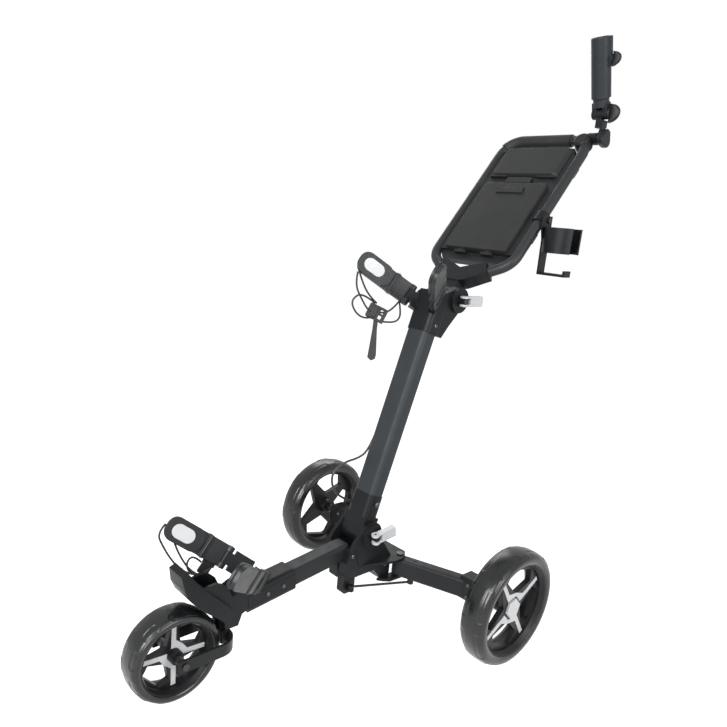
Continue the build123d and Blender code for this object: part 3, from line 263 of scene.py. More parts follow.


# Tubes of the frame: aluminium sections with a satin slate powder coat, cut to length and set in mouldings.
# The coat has a fine orange peel. On the front tube and the legs its colour is a tone darker: painted shade.
slate_coat = finish_of("slate_coat", (0.0225, 0.0255, 0.0285), rough=0.5, grain=520, depth=0.00012,
                       edge=0.1, round_edge=0.003, vary=0.1, gloss=0.2)
# The slate coat a tone darker: painted shade on the front tube and the legs.
shaded_slate_coat = finish_of("shaded_slate_coat", (0.0135, 0.0152, 0.017), rough=0.44, grain=520, depth=0.00012,
                         edge=0.2, round_edge=0.002, vary=0.1, gloss=0.16)
paint(slate_coat, "post_tube")
paint(shaded_slate_coat, "front_tube", "leg_left", "leg_right")


# Small steel fittings: hinge pins, axle stubs, the front axle bolt, the handle's screws and two fold rods.
# The pins and bolts are zinc-plated and blackened, the rods painted black. All have a painted edge
# highlight.
dark_steel = finish_of("dark_steel", (0.05, 0.051, 0.054), rough=0.34, grain=700, depth=0.0001, edge=0.4,
                       metal=0.9)
rod_black = finish_of("rod_black", (0.012, 0.012, 0.013), rough=0.4, grain=800, depth=0.0001, edge=0.3,
                      gloss=0.2)
paint(dark_steel, "chassis_pins", "axle_left", "axle_right", "front_axle", "post_pins", "handle_screws")
paint(rod_black, "link_left", "link_right")


# Axle blocks and fold shoe: mouldings that close the ends of the legs, and one that slides under the hub.
# Same black nylon as the hub, a little shinier, with a painted highlight along its edges. Two screws hold
# each block in its leg.
block_nylon = finish_of("block_nylon", (0.0078, 0.0084, 0.0092), rough=0.38, grain=900, depth=0.00015,
                        edge=0.5, gloss=0.18)
paint(block_nylon, "leg_block_left", "leg_block_right", "fold_shoe")
block_screw_x, block_face, block_screw_r = 0.2083, 0.129, 0.0038
block_screw_heights = (0.1364, 0.1084)
for word, side in both_sides:
    spots = [(side * block_screw_x, block_face, z) for z in block_screw_heights]
    screws_of("block_screw_" + word, spots, (0, -1, 0), block_screw_r, "leg_" + word)


# Leg studs: a low domed stud on top of each leg near its root, above the end of the fold rod.
# Zinc-plated steel, pressed into the leg.
stud_x, stud_y, leg_top, stud_r = 0.0779, 0.1060, 0.143, 0.0045
for word, side in both_sides:
    screws_of("leg_stud_" + word, [(side * stud_x, stud_y, leg_top)], (0, 0, 1), stud_r, "leg_" + word)


# Wheels: solid soft tyres on black moulded rims, each face dressed with white V-shaped spoke covers.
# The tyres are smooth, with a row of shallow capsule-shaped pockets pressed into each shoulder.
# The rear hubs are closed by a white six-sided cap that clips on.
tyre_rubber = finish_of("tyre_rubber", (0.0055, 0.006, 0.0066), rough=0.26, grain=700, depth=0.00012,
                        vary=0.15, gloss=0.42)
rim_black = finish_of("rim_black", (0.008, 0.008, 0.009), rough=0.4, grain=900, depth=0.0001, edge=0.4,
                      gloss=0.2)
trim_white = finish_of("trim_white", (0.46, 0.47, 0.48), rough=0.36, grain=700, depth=0.00006,
                       round_edge=0.0006, vary=0.03)


def arc_of(a, m, b, count):
    """Points along the circle through a, m and b, without b."""
    ax, ay, mx, my, bx, by = *a, *m, *b
    d = 2 * (ax * (my - by) + mx * (by - ay) + bx * (ay - my))
    cx = ((ax**2 + ay**2) * (my - by) + (mx**2 + my**2) * (by - ay) + (bx**2 + by**2) * (ay - my)) / d
    cy = ((ax**2 + ay**2) * (bx - mx) + (mx**2 + my**2) * (ax - bx) + (bx**2 + by**2) * (mx - ax)) / d
    centre = Vector((cx, cy))
    start, end = Vector(a) - centre, Vector(b) - centre
    turn = start.angle_signed(end)
    return [centre + Matrix.Rotation(-turn * k / count, 2) @ start for k in range(count)]


def tyre_mesh(name, r, w, pockets, pocket_arc, first):
    """A smooth round tyre with a ring of pockets in each shoulder, one of them at the angle first."""
    half = w / 2
    wall_x, shoulder_x, tread_x = half - 0.003, half - 0.007, half - 0.013
    bead_r, belly_r, wall_r, shoulder_r, tread_r = 0.80 * r, 0.88 * r, 0.945 * r, 0.975 * r, 0.99 * r
    wall_steps, shoulder_steps, tread_steps = 14, 18, 36
    outline = arc_of((wall_x, bead_r), (half, belly_r), (wall_x, wall_r), wall_steps)
    outline += arc_of((wall_x, wall_r), (shoulder_x, shoulder_r), (tread_x, tread_r), shoulder_steps)
    outline += arc_of((tread_x, tread_r), (0, r), (-tread_x, tread_r), tread_steps)
    outline += [Vector((-tread_x, tread_r))]
    outline += [Vector((-p.x, p.y)) for p in reversed(outline[:wall_steps + shoulder_steps])]
    walk = [0.0]
    for a, b in zip(outline, outline[1:]):
        walk.append(walk[-1] + (b - a).length)
    normals = []
    for k in range(len(outline)):
        a, b = outline[max(k - 1, 0)], outline[min(k + 1, len(outline) - 1)]
        along = (b - a).normalized()
        normals.append(Vector((along.y, -along.x)))

    seam, seam_deep, seam_half = walk[wall_steps], 0.0006, 0.0009
    pocket_row = seam + 0.0083
    pocket_r = 0.94 * r
    pocket_half, pocket_deep, pocket_slope = 0.0076, 0.0012, 0.002
    groove_deep, groove_half = 0.0011, 0.0013
    straight = pocket_arc / 2 * pocket_r - pocket_half
    pitch = 2 * pi / pockets
    around = pockets * 72
    mesh = bmesh.new()
    rings = []
    for k in range(around):
        angle = 2 * pi * k / around
        offset = (angle - first + pitch / 2) % pitch - pitch / 2
        past = max(abs(offset) * pocket_r - straight, 0)
        ring = []
        for spot, normal, at in zip(outline, normals, walk):
            out = min(at, walk[-1] - at)
            edge = (past**2 + (out - pocket_row) ** 2) ** 0.5 - pocket_half
            deep = pocket_deep * min(max(-edge / pocket_slope, 0), 1)
            deep += groove_deep * max(1 - abs(edge) / groove_half, 0)
            deep += seam_deep * max(1 - abs(out - seam) / seam_half, 0)
            p = spot - normal * deep
            ring.append(mesh.verts.new((p.x, p.y * cos(angle), p.y * sin(angle))))
        rings.append(ring)
    for a, b in zip(rings, rings[1:] + rings[:1]):
        for j in range(len(outline)):
            n = (j + 1) % len(outline)
            mesh.faces.new((a[j], a[n], b[n], b[j]))
    return smooth_mesh(name, mesh, tyre_rubber)


def centre_of(node):
    """The middle of a node's box."""
    low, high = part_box(node)
    return (low + high) / 2


tyre_w = 0.058
rear_tyre = tyre_mesh("rear_tyre", 0.125, tyre_w, pockets=8, pocket_arc=radians(32), first=radians(158))
small_tyre = tyre_mesh("small_tyre", 0.0885, tyre_w, pockets=10, pocket_arc=radians(21), first=radians(126))
for node, data, body in (
    ("tyre_left", rear_tyre, "wheel_left"),
    ("tyre_right", rear_tyre, "wheel_right"),
    ("front_tyre", small_tyre, "front_wheel"),
):
    tyre = bpy.data.objects.new(node + "_ring", data)
    tyre.location = centre_of(node)
    bpy.context.scene.collection.objects.link(tyre)
    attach(tyre, body)
    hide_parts(node)
paint(rim_black, "rim_left", "rim_right", "front_rim")
paint(trim_white, "trim_left", "trim_right", "front_trim")


# Fork: a flat band bent round the front wheel, with the swivel block and upright pin at its back.
# Moulded in the same black nylon as the axle blocks. The front axle bolt passes through both its ends.
paint(block_nylon, "fork")


# Post mouldings: the foot in the lower hinge and the head that carries the upper hinge ears.
# Black nylon sleeves pressed over the ends of the post tube, held by screws and a pair of rivets.
# A larger thumb screw stands on the left of the foot.
paint(black_nylon, "post_foot", "post_head")
head_screw, foot_screw = (0.0315, 0.1352, 0.6613), (0.0295, 0.0155, 0.2795)
right_screws = [(-x, y, z) for x, y, z in (head_screw, foot_screw)]
rivets = [(-0.028, 0.122, 0.6285), (-0.028, 0.1195, 0.6205)]
post_screw_r, thumb_screw_r, rivet_r = 0.004, 0.0065, 0.0028
screws_of("post_screws_left", [head_screw], (1, 0, 0), post_screw_r, "post")
screws_of("foot_thumb_screw", [foot_screw], (1, 0, 0), thumb_screw_r, "post")
screws_of("post_screws_right", right_screws, (-1, 0, 0), post_screw_r, "post")
screws_of("post_rivets", rivets, (-1, 0, 0), rivet_r, "post")


# Clamp levers: off-white cam levers, one at each folding hinge, swung out to let the hinge go.
# Moulded in acetal with a faint texture, each turning on the end of its hinge bolt.
lever_white = finish_of("lever_white", (0.42, 0.43, 0.44), rough=0.4, grain=600, depth=0.0001,
                        round_edge=0.0015, vary=0.03)
paint(lever_white, "lower_lever", "upper_lever")


# Bag cradle: four arms with soft-touch pads, each pad with a pale oval inset, turning on upright pins.
# The arms are black nylon, the ovals off-white rubber pressed into the pad.
pad_rubber = finish_of("pad_rubber", (0.0115, 0.0125, 0.014), rough=0.42, grain=650, depth=0.00015,
                       edge=0.4, round_edge=0.002, gloss=0.3)
oval_white = finish_of("oval_white", (0.44, 0.45, 0.46), rough=0.5, grain=500, depth=0.0001,
                       round_edge=0.0012, vary=0.04)
paint(pad_rubber, "lower_arm_left", "lower_arm_right", "upper_arm_left", "upper_arm_right")
paint(oval_white, "lower_oval_left", "lower_oval_right", "upper_oval_left", "upper_oval_right")


# Arm bands: a moulded collar round each cradle arm below its pad, with a narrow ring raised round it.
# Same soft-touch black as the arms, moulded on in one with them.
axle_y = 0.154
# Sine and cosine of 37.3 degrees, by which the bag leans back
lean_sin, lean_cos = 0.606, 0.7955


def cradle(u, v, h):
    """A point from the cradle's own frame: u across, v square to the bag, h up along the leaning bag."""
    return Vector((u, axle_y + lean_sin * h - lean_cos * v, lean_cos * h + lean_sin * v))


def oblong(x0, y0, x1, y1, r=0.0, count=6):
    """Corners of a rectangle, rounded where r is given, anticlockwise."""
    if r == 0:
        return [(x0, y0), (x1, y0), (x1, y1), (x0, y1)]
    corners = (
        (x1 - r, y0 + r, -pi / 2), (x1 - r, y1 - r, 0), (x0 + r, y1 - r, pi / 2), (x0 + r, y0 + r, pi),
    )
    return [
        (cx + r * cos(start + pi / 2 * k / count), cy + r * sin(start + pi / 2 * k / count))
        for cx, cy, start in corners for k in range(count + 1)
    ]


lower_h, lower_strap = -0.1106, ((0.055, 0.495), (0.0775, 0.552), (0.100, 0.622))
upper_h, upper_strap = 0.550, ((0.040, 0.462), (0.066, 0.501), (0.108, 0.571))
lower_left_swing = radians(10)
band_from_tip = 0.0875
band_line = oblong(-0.0065, -0.0238, 0.0065, 0.0238, 0.002)
band_out, band_in, band_soft = -0.0058, 0.0078, 0.001
ring_line = oblong(-0.0015, -0.0245, 0.0015, 0.0245, 0.0012)
ring_out, ring_in, ring_soft = -0.0066, 0.0092, 0.0006
for name, side, h, swing, strap in (
    ("lower_arm_left", 1, lower_h, lower_left_swing, lower_strap),
    ("lower_arm_right", -1, lower_h, 0.0, lower_strap),
    ("upper_arm_left", 1, upper_h, 0.0, upper_strap),
    ("upper_arm_right", -1, upper_h, 0.0, upper_strap),
):
    joint, knee, tip = (Vector(p) for p in strap)
    turned = Matrix.Rotation(-swing, 2)
    knee, tip = (joint + turned @ (p - joint) for p in (knee, tip))
    run = (tip - knee).normalized()
    spot = tip - run * band_from_tip
    along = cradle(side * run.x, run.y, 0) - cradle(0, 0, 0)
    across = cradle(0, 0, 1) - cradle(0, 0, 0)
    inward = cradle(-side * run.y, run.x, 0) - cradle(0, 0, 0)
    band_frame = Matrix((along, across, inward)).transposed().to_4x4()
    band_place = Matrix.Translation(cradle(side * spot.x, spot.y, h)) @ band_frame
    band = bmesh.new()
    plate(band, band_line, band_place, band_out, band_in, band_soft)
    plate(band, ring_line, band_place, ring_out, ring_in, ring_soft)
    piece_of(name + "_band", band, pad_rubber, name)


# Cords: black elastic that straps the bag, tied to the right-hand arms, and the brake cable beside the post.
# The elastic has a braided cover, the cable a plain plastic sheath.
# Each is one smooth line between the two places where it is held.
def cord_of(name, line, radius, material, body, stands_for=None):
    """A round cord along a smooth line, held by a body at both ends."""
    curve = bpy.data.curves.new(name, "CURVE")
    curve.dimensions = "3D"
    curve.bevel_depth = radius
    curve.bevel_resolution = 4
    curve.resolution_u = 16
    curve.use_fill_caps = True
    spline = curve.splines.new("NURBS")
    spline.points.add(len(line) - 1)
    for point, spot in zip(spline.points, line):
        point.co = (*spot, 1)
    spline.order_u = 3
    spline.use_endpoint_u = True
    curve.materials.append(material)
    cord = bpy.data.objects.new(name, curve)
    bpy.context.scene.collection.objects.link(cord)
    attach(cord, body)
    if stands_for:
        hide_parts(stands_for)


def braid_of(name, colour, strands):
    """A braided cover: mottled tone and fine ridges across the cord."""
    mottle = 60
    dark_share, light_share = 0.8, 1.3
    ridge_strength, ridge_depth = 0.5, 0.0003
    material, tree, shader = shader_of(name)
    spots = noise_of(tree, mottle, detail=3)
    tone = ramp_of(tree, spots, tint(colour, dark_share), tint(colour, light_share))
    tree.links.new(tone, shader.inputs["Base Color"])
    shader.inputs["Roughness"].default_value = 0.6
    weave = tree.nodes.new("ShaderNodeTexWave")
    weave.inputs["Scale"].default_value = strands
    weave.inputs["Distortion"].default_value = 2.0
    place = tree.nodes.new("ShaderNodeTexCoord")
    tree.links.new(place.outputs["Object"], weave.inputs["Vector"])
    bump = tree.nodes.new("ShaderNodeBump")
    bump.inputs["Strength"].default_value = ridge_strength
    bump.inputs["Distance"].default_value = ridge_depth
    tree.links.new(weave.outputs["Fac"], bump.inputs["Height"])
    tree.links.new(bump.outputs["Normal"], shader.inputs["Normal"])
    return material


cord_radius = 0.002
cable_radius = 0.0025
upper_line = [
    (-0.103, 0.0244, 0.7586), (-0.106, 0.022, 0.731), (-0.102, 0.042, 0.700), (-0.097, 0.061, 0.674),
    (-0.086, 0.084, 0.672), (-0.068, 0.099, 0.678), (-0.046, 0.098, 0.7024),
]
lower_line = [
    (-0.101, -0.4115, 0.2905), (-0.102, -0.429, 0.275), (-0.100, -0.417, 0.245), (-0.096, -0.402, 0.215),
    (-0.088, -0.385, 0.192), (-0.078, -0.365, 0.180), (-0.066, -0.343, 0.184), (-0.0596, -0.3297, 0.1995),
]
cable_line = [
    (-0.0307, 0.050, 0.416), (-0.0307, 0.033, 0.380), (-0.034, 0.008, 0.367), (-0.038, -0.026, 0.363),
    (-0.042, -0.052, 0.348), (-0.042, -0.058, 0.324), (-0.040, -0.045, 0.295), (-0.036, -0.018, 0.276),
    (-0.0322, 0.009, 0.262),
]
elastic_black = braid_of("elastic_black", (0.012, 0.012, 0.013), strands=500)
sheath_black = finish_of("sheath_black", (0.014, 0.014, 0.015), rough=0.4, grain=500, depth=0.0001)
for node, line, radius, length, cover, body, slot in (
    ("upper_cord", upper_line, cord_radius, 0.174, elastic_black, "upper_arm_right", "cord"),
    ("lower_cord", lower_line, cord_radius, 0.184, elastic_black, "lower_arm_right", "cord"),
    ("brake_cable", cable_line, cable_radius, 0.248, sheath_black, "post", "cable"),
):
    cord_of(node + "_line", line, radius, cover, body, node)


# Second strands: the elastic is doubled, so another strand of the same braid runs beside each cord.
# Spare elastic hangs out of the upper buckle in a loop and a tail, and out of the lower clip in a loop.
upper_inner = [
    (-0.101, 0.023, 0.766), (-0.101, 0.037, 0.738), (-0.096, 0.057, 0.708), (-0.090, 0.076, 0.693),
]
upper_loop = [
    (-0.092, 0.073, 0.693), (-0.098, 0.038, 0.715), (-0.104, 0.018, 0.703), (-0.104, 0.016, 0.688),
    (-0.101, 0.032, 0.667), (-0.095, 0.055, 0.659), (-0.089, 0.071, 0.664),
]
upper_tail = [
    (-0.086, 0.093, 0.653), (-0.074, 0.116, 0.651), (-0.064, 0.126, 0.662), (-0.058, 0.118, 0.684),
    (-0.048, 0.102, 0.700),
]
lower_inner = [
    (-0.094, -0.404, 0.275), (-0.092, -0.397, 0.246), (-0.086, -0.384, 0.214), (-0.078, -0.371, 0.191),
    (-0.070, -0.358, 0.182),
]
lower_loop = [
    (-0.074, -0.350, 0.205), (-0.078, -0.366, 0.224), (-0.080, -0.380, 0.208), (-0.078, -0.372, 0.184),
    (-0.073, -0.352, 0.180),
]
for name, line, length, body in (
    ("upper_inner_strand", upper_inner, 0.092, "upper_arm_right"),
    ("upper_loop_strand", upper_loop, 0.1428, "upper_arm_right"),
    ("upper_tail_strand", upper_tail, 0.0891, "upper_arm_right"),
    ("lower_inner_strand", lower_inner, 0.1096, "lower_arm_right"),
    ("lower_loop_strand", lower_loop, 0.0813, "lower_arm_right"),
):
    cord_of(name, line, cord_radius, elastic_black, body)


# Buckle of the upper cord: a hook moulded in black plastic, threaded on the elastic and tipped by its pull.
# Two square eyes go right through it, and a bar stands proud along its upper edge.
# A flat tab hangs from it.
hook_black = finish_of("hook_black", (0.010, 0.010, 0.011), rough=0.42, grain=800, depth=0.00015,
                       edge=0.4)
hook_spot = Vector((-0.090, 0.078, 0.671))
hook_side, hook_face = Vector((0.66, 0.75, 0)).normalized(), Vector((0.75, -0.66, 0)).normalized()
hook_frame = Matrix((hook_side, (0, 0, 1), hook_face)).transposed().to_4x4()
hook_place = Matrix.Translation(hook_spot) @ hook_frame
hook_tip = radians(-22)
tipped = hook_place @ Matrix.Rotation(hook_tip, 4, "Z")
solid_end = oblong(-0.021, -0.0155, 0.000, 0.0165, 0.004)
end_half, end_soft = 0.006, 0.0012
eye_bars = (
    oblong(0.000, 0.0115, 0.021, 0.0165),
    oblong(0.000, -0.0155, 0.021, -0.0095),
    oblong(0.000, -0.0105, 0.006, 0.0125),
    oblong(0.0135, -0.0105, 0.021, 0.0125),
)
bar_half, bar_soft = 0.005, 0.0008
cross_bar = oblong(0.005, -0.0015, 0.0145, 0.0030)
cross_half, cross_soft = 0.004, 0.0005
proud_bar = oblong(-0.021, 0.0135, 0.015, 0.0175, 0.001)
proud_low, proud_high = 0.004, 0.0095
tab_line = [
    (-0.005, -0.012), (0.005, -0.012), (0.0045, -0.034), (0.008, -0.092), (0.006, -0.101), (-0.003, -0.105),
    (-0.011, -0.098), (-0.0055, -0.034),
]
tab_half, tab_soft = 0.0016, 0.0005
buckle = bmesh.new()
plate(buckle, solid_end, tipped, -end_half, end_half, end_soft)
for bar in eye_bars:
    plate(buckle, bar, tipped, -bar_half, bar_half, bar_soft)
plate(buckle, cross_bar, tipped, -cross_half, cross_half, cross_soft)
plate(buckle, proud_bar, tipped, proud_low, proud_high, bar_soft)
plate(buckle, tab_line, hook_place, -tab_half, tab_half, tab_soft)
piece_of("upper_hook_buckle", buckle, hook_black, "upper_arm_right", "upper_hook")


# Clip of the lower cord: a smaller hook that gathers the strands beside the tray, with a bar and a prong.
# Moulded in the same black plastic as the buckle, and held by the elastic alone.
clip_spot, clip_tip = (-0.0715, -0.342, 0.192), radians(-30)
clip_place = Matrix.Translation(clip_spot) @ hook_frame @ Matrix.Rotation(clip_tip, 4, "Z")
clip_body = oblong(-0.011, -0.015, 0.011, 0.015, 0.003)
clip_bar = oblong(-0.013, 0.010, 0.013, 0.016, 0.001)
clip_prong = oblong(0.004, -0.021, 0.011, -0.010, 0.002)
clip = bmesh.new()
for outline, low, high, soft in (
    (clip_body, -0.004, 0.004, 0.001),
    (clip_bar, -0.005, 0.006, bar_soft),
    (clip_prong, -0.003, 0.003, bar_soft),
):
    plate(clip, outline, clip_place, low, high, soft)
piece_of("lower_clip", clip, hook_black, "lower_arm_right")


# Handle loop: one bent aluminium tube with a satin dark coat, and a foam grip over its top bar.
# A black yoke clamps both lower ends and forms the knuckle of the upper hinge.
handle_coat = finish_of("handle_coat", (0.018, 0.0195, 0.021), rough=0.42, grain=520, depth=0.00012,
                        edge=0.1, vary=0.1, gloss=0.2)
foam_black = finish_of("foam_black", (0.022, 0.0235, 0.025), rough=0.6, grain=420, depth=0.0005,
                       vary=0.2, gloss=0.2)
paint(handle_coat, "handle_tube")
paint(foam_black, "grip")
paint(black_nylon, "handle_yoke")


# Console: a shallow tray between the handle tubes, with a hinged lid, a fixed pad and a sliding latch.
# Moulded in grained dark plastic. A finger lug stands near the lid's top edge.
# Two low lips run along the pad's lower edge.
console_grey = finish_of("console_grey", (0.0175, 0.018, 0.0183), rough=0.42, grain=1000, depth=0.00015,
                         edge=0.35, round_edge=0.003, gloss=0.16)
console_black = finish_of("console_black", (0.013, 0.0135, 0.0145), rough=0.42, grain=1000,
                          depth=0.00015, edge=0.4, round_edge=0.002, gloss=0.18)
paint(console_grey, "console_lid", "console_pad")
paint(console_black, "console_tray", "console_latch")
handle_spot, handle_slope = (0, 0.4183, 0.9803), radians(50)
handle_place = Matrix.Translation(handle_spot) @ Matrix.Rotation(handle_slope, 4, "X")
lid_face, lug_face, bow_face = 0.0145, 0.0182, 0.0176
lug_soft, bow_soft = 0.0010, 0.0008
lug_line = [(-0.036, -0.055), (0.036, -0.055), (0.031, -0.041), (-0.031, -0.041)]
bow_half, bow_rise, bow_foot, bow_steps = 0.017, 0.010, -0.0415, 16
bow_angles = [pi * k / bow_steps for k in range(bow_steps + 1)]
bow_line = [(bow_half * cos(angle), bow_foot + bow_rise * sin(angle)) for angle in bow_angles]
lug = bmesh.new()
plate(lug, lug_line, handle_place, lid_face, lug_face, lug_soft)
plate(lug, bow_line, handle_place, lid_face, bow_face, bow_soft)
piece_of("lid_lug", lug, console_black, "console_lid")
lip_in, lip_out, lip_low, lip_high = 0.040, 0.086, -0.0015, 0.0032
lip_round, lip_seat, lip_face, lip_soft = 0.0012, 0.006, 0.0125, 0.0008
lip = bmesh.new()
for start, end in ((-lip_out, -lip_in), (lip_in, lip_out)):
    plate(lip, oblong(start, lip_low, end, lip_high, lip_round), handle_place, lip_seat, lip_face, lip_soft)
piece_of("pad_lip", lip, console_black, "handle")


# Cup holder: a band clamp on the left tube, a drop plate with a foot, and an open ring.
# Black nylon, thin walled, held by one screw on which it turns.
paint(black_nylon, "cup_clamp", "cup_holder")


# Umbrella holder: a clamp on the corner of the loop, a swivel link, and a tilting tube with two round ears.
# Grained black nylon, the tube with a satin skin and a raised strip for its screw.
# The ears are dished, with three short ribs round a boss.
holder_skin = finish_of("holder_skin", (0.022, 0.025, 0.029), rough=0.42, grain=900, depth=0.00012,
                        edge=0.3, round_edge=0.0012, gloss=0.14)
paint(block_nylon, "umbrella_clamp", "umbrella_link")
tilt_spot = Vector((0.104, 0.526, 1.132))
holder_lean = radians(20.6)
holder_axis = Vector((0, -sin(holder_lean), cos(holder_lean)))
holder_place = Matrix.Translation(tilt_spot) @ Matrix.Rotation(holder_lean, 4, "X")
holder_r, holder_bore, holder_low, holder_high = 0.0205, 0.016, 0.032, 0.152
bore_floor, neck_low, holder_facets = holder_low + 0.010, 0.0145, 96
strip_line = oblong(holder_r - 0.002, -0.0045, holder_r + 0.004, 0.0045, 0.001)
strip_low, strip_soft = 0.096, 0.0006
holder_line = [
    (holder_bore - 0.0002, bore_floor), (holder_bore, holder_high - 0.0008),
    (holder_bore + 0.0006, holder_high), (holder_r - 0.0008, holder_high),
    (holder_r, holder_high - 0.0010), (holder_r, holder_low + 0.001),
    (holder_r - 0.001, holder_low), (holder_r - 0.0035, holder_low - 0.0002), (holder_r - 0.004, neck_low),
]
holder = bmesh.new()
lathe(holder, holder_line, holder_place, holder_facets)
plate(holder, strip_line, holder_place, strip_low, holder_high, strip_soft)
piece_of("umbrella_tube_shell", holder, holder_skin, "umbrella_tube", "umbrella_tube")
ear_in, ear_out, ear_r = 0.0064, 0.018, 0.0125
ear_round, ear_dish, boss_r = 0.0015, ear_out - 0.003, 0.0045
ear_line = [
    (ear_r, ear_in), (ear_r, ear_out - ear_round), (ear_r - ear_round, ear_out), (ear_r - 0.004, ear_out),
    (ear_r - 0.0045, ear_dish), (boss_r, ear_dish), (boss_r, ear_out),
]
ear_ribs, ear_rib_turn = 3, 0.5
ear_rib_line = oblong(0.003, -0.0016, ear_r - 0.003, 0.0016)
ear_rib_low, ear_rib_high, ear_rib_soft = ear_out - 0.0035, ear_out - 0.0005, 0.0003
web_half, web_round, web_high, web_soft = 0.009, 0.002, 0.0235, 0.0008
ears = bmesh.new()
for side in (1, -1):
    ear = holder_place @ Matrix.Rotation(side * pi / 2, 4, "Y")
    lathe(ears, ear_line, ear)
    for k in range(ear_ribs):
        rib = ear @ Matrix.Rotation(2 * pi * k / ear_ribs + ear_rib_turn, 4, "Z")
        plate(ears, ear_rib_line, rib, ear_rib_low, ear_rib_high, ear_rib_soft)
    start, end = sorted((side * ear_in, side * ear_out))
    plate(ears, oblong(start, -web_half, end, web_half, web_round), holder_place, 0.0, web_high, web_soft)
piece_of("umbrella_tube_ears", ears, block_nylon, "umbrella_tube", "umbrella_tube")


# Screw knobs of the umbrella holder: winged ones for the tilt and the tube, a three-lobed one at the base.
# Black nylon moulded over the heads of steel screws and turned by hand.
knob_black = finish_of("knob_black", (0.009, 0.0098, 0.0112), rough=0.42, grain=800, depth=0.0001,
                       vary=0.1, gloss=0.18)


def wing_of(mesh, place, stem_r, stem_low, wing_low, wing_high, half, thick):
    """A round collar with a rounded wing whose rim is an arc, thicker at the root than at the rim."""
    rows, facets = 9, 16
    rim_share = 0.45
    arc_share = 0.98
    collar = [
        (stem_r * 0.9, stem_low), (stem_r, stem_low + 0.001), (stem_r, wing_low + 0.001),
        (stem_r * 0.8, wing_low + 0.003),
    ]
    lathe(mesh, collar, place)
    turn = place @ Matrix.Rotation(pi / 2, 4, "X")
    rings = []
    for j in range(-rows, rows + 1):
        share = j / rows
        tall = (wing_high - wing_low) * (1 - share**2) ** 0.5 * arc_share
        ring = []
        for k in range(facets):
            angle = 2 * pi * k / facets
            rise = tall * (0.5 + 0.5 * sin(angle))
            root = 1 - rise / (wing_high - wing_low)
            deep = thick * cos(angle) * (rim_share + (1 - rim_share) * root)
            ring.append(mesh.verts.new(turn @ Vector((half * share, wing_low + rise, deep))))
        rings.append(ring)
    cover_rings(mesh, rings)


outward = (1, 0, 0)
upright = Matrix.Rotation(pi / 2, 4, "Z")
tilt_knob = bmesh.new()
wing_of(tilt_knob, aim(tilt_spot, outward) @ upright, stem_r=0.0124, stem_low=0.0184, wing_low=0.0196,
        wing_high=0.045, half=0.0195, thick=0.0078)
piece_of("tilt_knob_wing", tilt_knob, knob_black, "tilt_knob", "tilt_knob")
screw_up, screw_facets = 0.108, 24
screw_spot = tilt_spot + holder_axis * screw_up
screw_line = [(0.003, 0.0166), (0.003, 0.026)]
tube_knob = bmesh.new()
wing_of(tube_knob, aim(screw_spot, outward) @ upright, stem_r=0.009, stem_low=0.0249, wing_low=0.0258,
        wing_high=0.046, half=0.0145, thick=0.0062)
lathe(tube_knob, screw_line, aim(screw_spot, outward), screw_facets)
piece_of("tube_knob_wing", tube_knob, knob_black, "tube_knob", "tube_knob")
base_spot = Vector((0.1188, 0.516, 1.078))
base_r, base_thick, base_soft, base_points = 0.0185, 0.015, 0.0028, 48
lobes, lobe_rise, lobe_turn = 3, 0.0024, radians(135)
base_line = []
for k in range(base_points):
    angle = 2 * pi * k / base_points
    r = base_r + lobe_rise * cos(lobes * angle + lobe_turn)
    base_line.append((r * cos(angle), r * sin(angle)))
base_knob = bmesh.new()
plate(base_knob, base_line, aim(base_spot, outward), 0.0, base_thick, base_soft)
piece_of("base_knob_grip", base_knob, knob_black, "base_knob", "base_knob")


# Floor and surround: a plain pale floor in a plain white studio.
# Both look white from the camera and in glossy surfaces, and the floor keeps the cart's soft shadow.
def seen_of(tree):
    """1 where the camera, or a glossy or clear surface, sees the studio, and 0 for the light it gives."""
    path = tree.nodes.new("ShaderNodeLightPath")
    seen = path.outputs["Is Camera Ray"]
    for ray in ("Is Glossy Ray", "Is Transmission Ray"):
        either = tree.nodes.new("ShaderNodeMath")
        either.operation = "MAXIMUM"
        tree.links.new(seen, either.inputs[0])
        tree.links.new(path.outputs[ray], either.inputs[1])
        seen = either.outputs["Value"]
    return seen


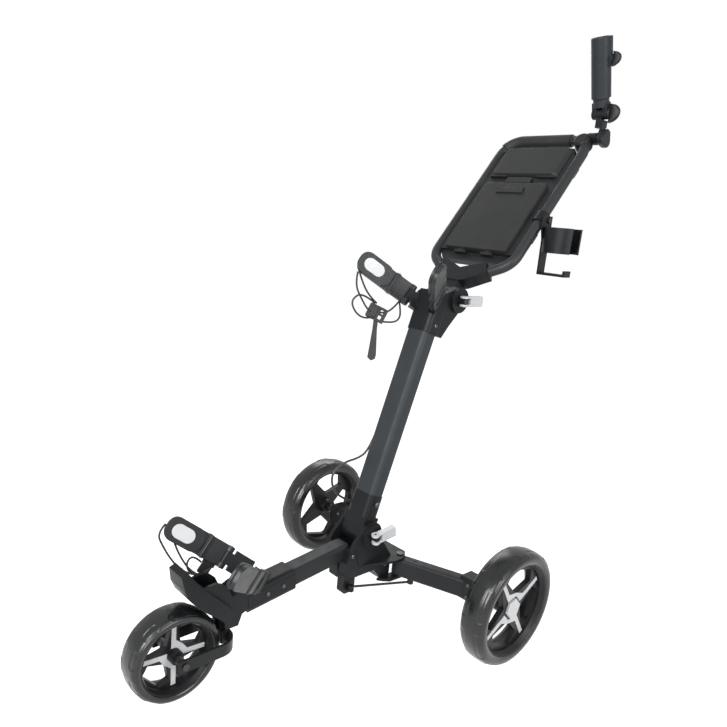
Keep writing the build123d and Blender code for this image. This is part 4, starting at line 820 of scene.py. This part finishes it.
floor_reach, floor_z = 30.0, -0.0005
floor_glow = 0.9
floor_corners = [
    (-floor_reach, -floor_reach, floor_z), (floor_reach, -floor_reach, floor_z),
    (floor_reach, floor_reach, floor_z), (-floor_reach, floor_reach, floor_z),
]
floor_mesh = bpy.data.meshes.new("floor")
floor_mesh.from_pydata(floor_corners, [], [(0, 1, 2, 3)])
floor = bpy.data.objects.new("floor", floor_mesh)
bpy.context.scene.collection.objects.link(floor)
floor_white, tree, shader = shader_of("floor_white")
shader.inputs["Base Color"].default_value = (0.5, 0.5, 0.5, 1)
shader.inputs["Roughness"].default_value = 0.9
shader.inputs["Specular IOR Level"].default_value = 0.0
shader.inputs["Emission Color"].default_value = (1, 1, 1, 1)
lift = range_of(tree, seen_of(tree), 0.0, floor_glow, 0.0, 1.0)
tree.links.new(lift, shader.inputs["Emission Strength"])
floor.data.materials.append(floor_white)

fill_light, seen_light = 0.25, 1.0
world = bpy.data.worlds.new("studio")
bpy.context.scene.world = world
world.use_nodes = True
tree = world.node_tree
surround = tree.nodes["Background"]
surround.inputs["Color"].default_value = (1, 1, 1, 1)
strength = range_of(tree, seen_of(tree), fill_light, seen_light, 0.0, 1.0)
tree.links.new(strength, surround.inputs["Strength"])


# Lamps: three soft boxes, the main one in front, a weaker one at the left side and a faint one behind.
# Each row gives the lamp's place, the point it is turned to, its width and its power.
for name, spot, toward, width, watts in (
    ("key_box", (0.9, -2.7, 1.9), (0, 0, 0.5), 1.8, 150),
    ("side_box", (2.7, 0.0, 1.5), (0, 0, 0.5), 1.4, 62),
    ("back_box", (-2.0, 1.6, 2.2), (0, 0, 0.6), 1.6, 26),
):
    lamp = bpy.data.lights.new(name, "AREA")
    lamp.energy = watts
    lamp.size = width
    light = bpy.data.objects.new(name, lamp)
    light.location = spot
    light.rotation_euler = (Vector(toward) - Vector(spot)).to_track_quat("-Z", "Y").to_euler()
    bpy.context.scene.collection.objects.link(light)


# Camera: it stands in front of the cart, on its left, and looks a little down, as in the photograph.
# The shift sets the cart off the middle of the frame, as it is there.
camera_data = bpy.data.cameras.new("camera")
camera_data.sensor_width = 36.0
camera_data.lens = 33.369
camera_data.shift_x = 0.0372
camera_data.shift_y = 0.0597
camera = bpy.data.objects.new("camera", camera_data)
bpy.context.scene.collection.objects.link(camera)
eye = Vector((0.9428, -0.9654, 0.8621))
right, up, back = (0.6577, 0.749, 0.0808), (-0.2539, 0.1194, 0.9598), (0.7092, -0.6518, 0.2687)
camera.matrix_world = Matrix.Translation(eye) @ Matrix((right, up, back)).transposed().to_4x4()
bpy.context.scene.camera = camera
bpy.context.scene.view_settings.view_transform = "Standard"
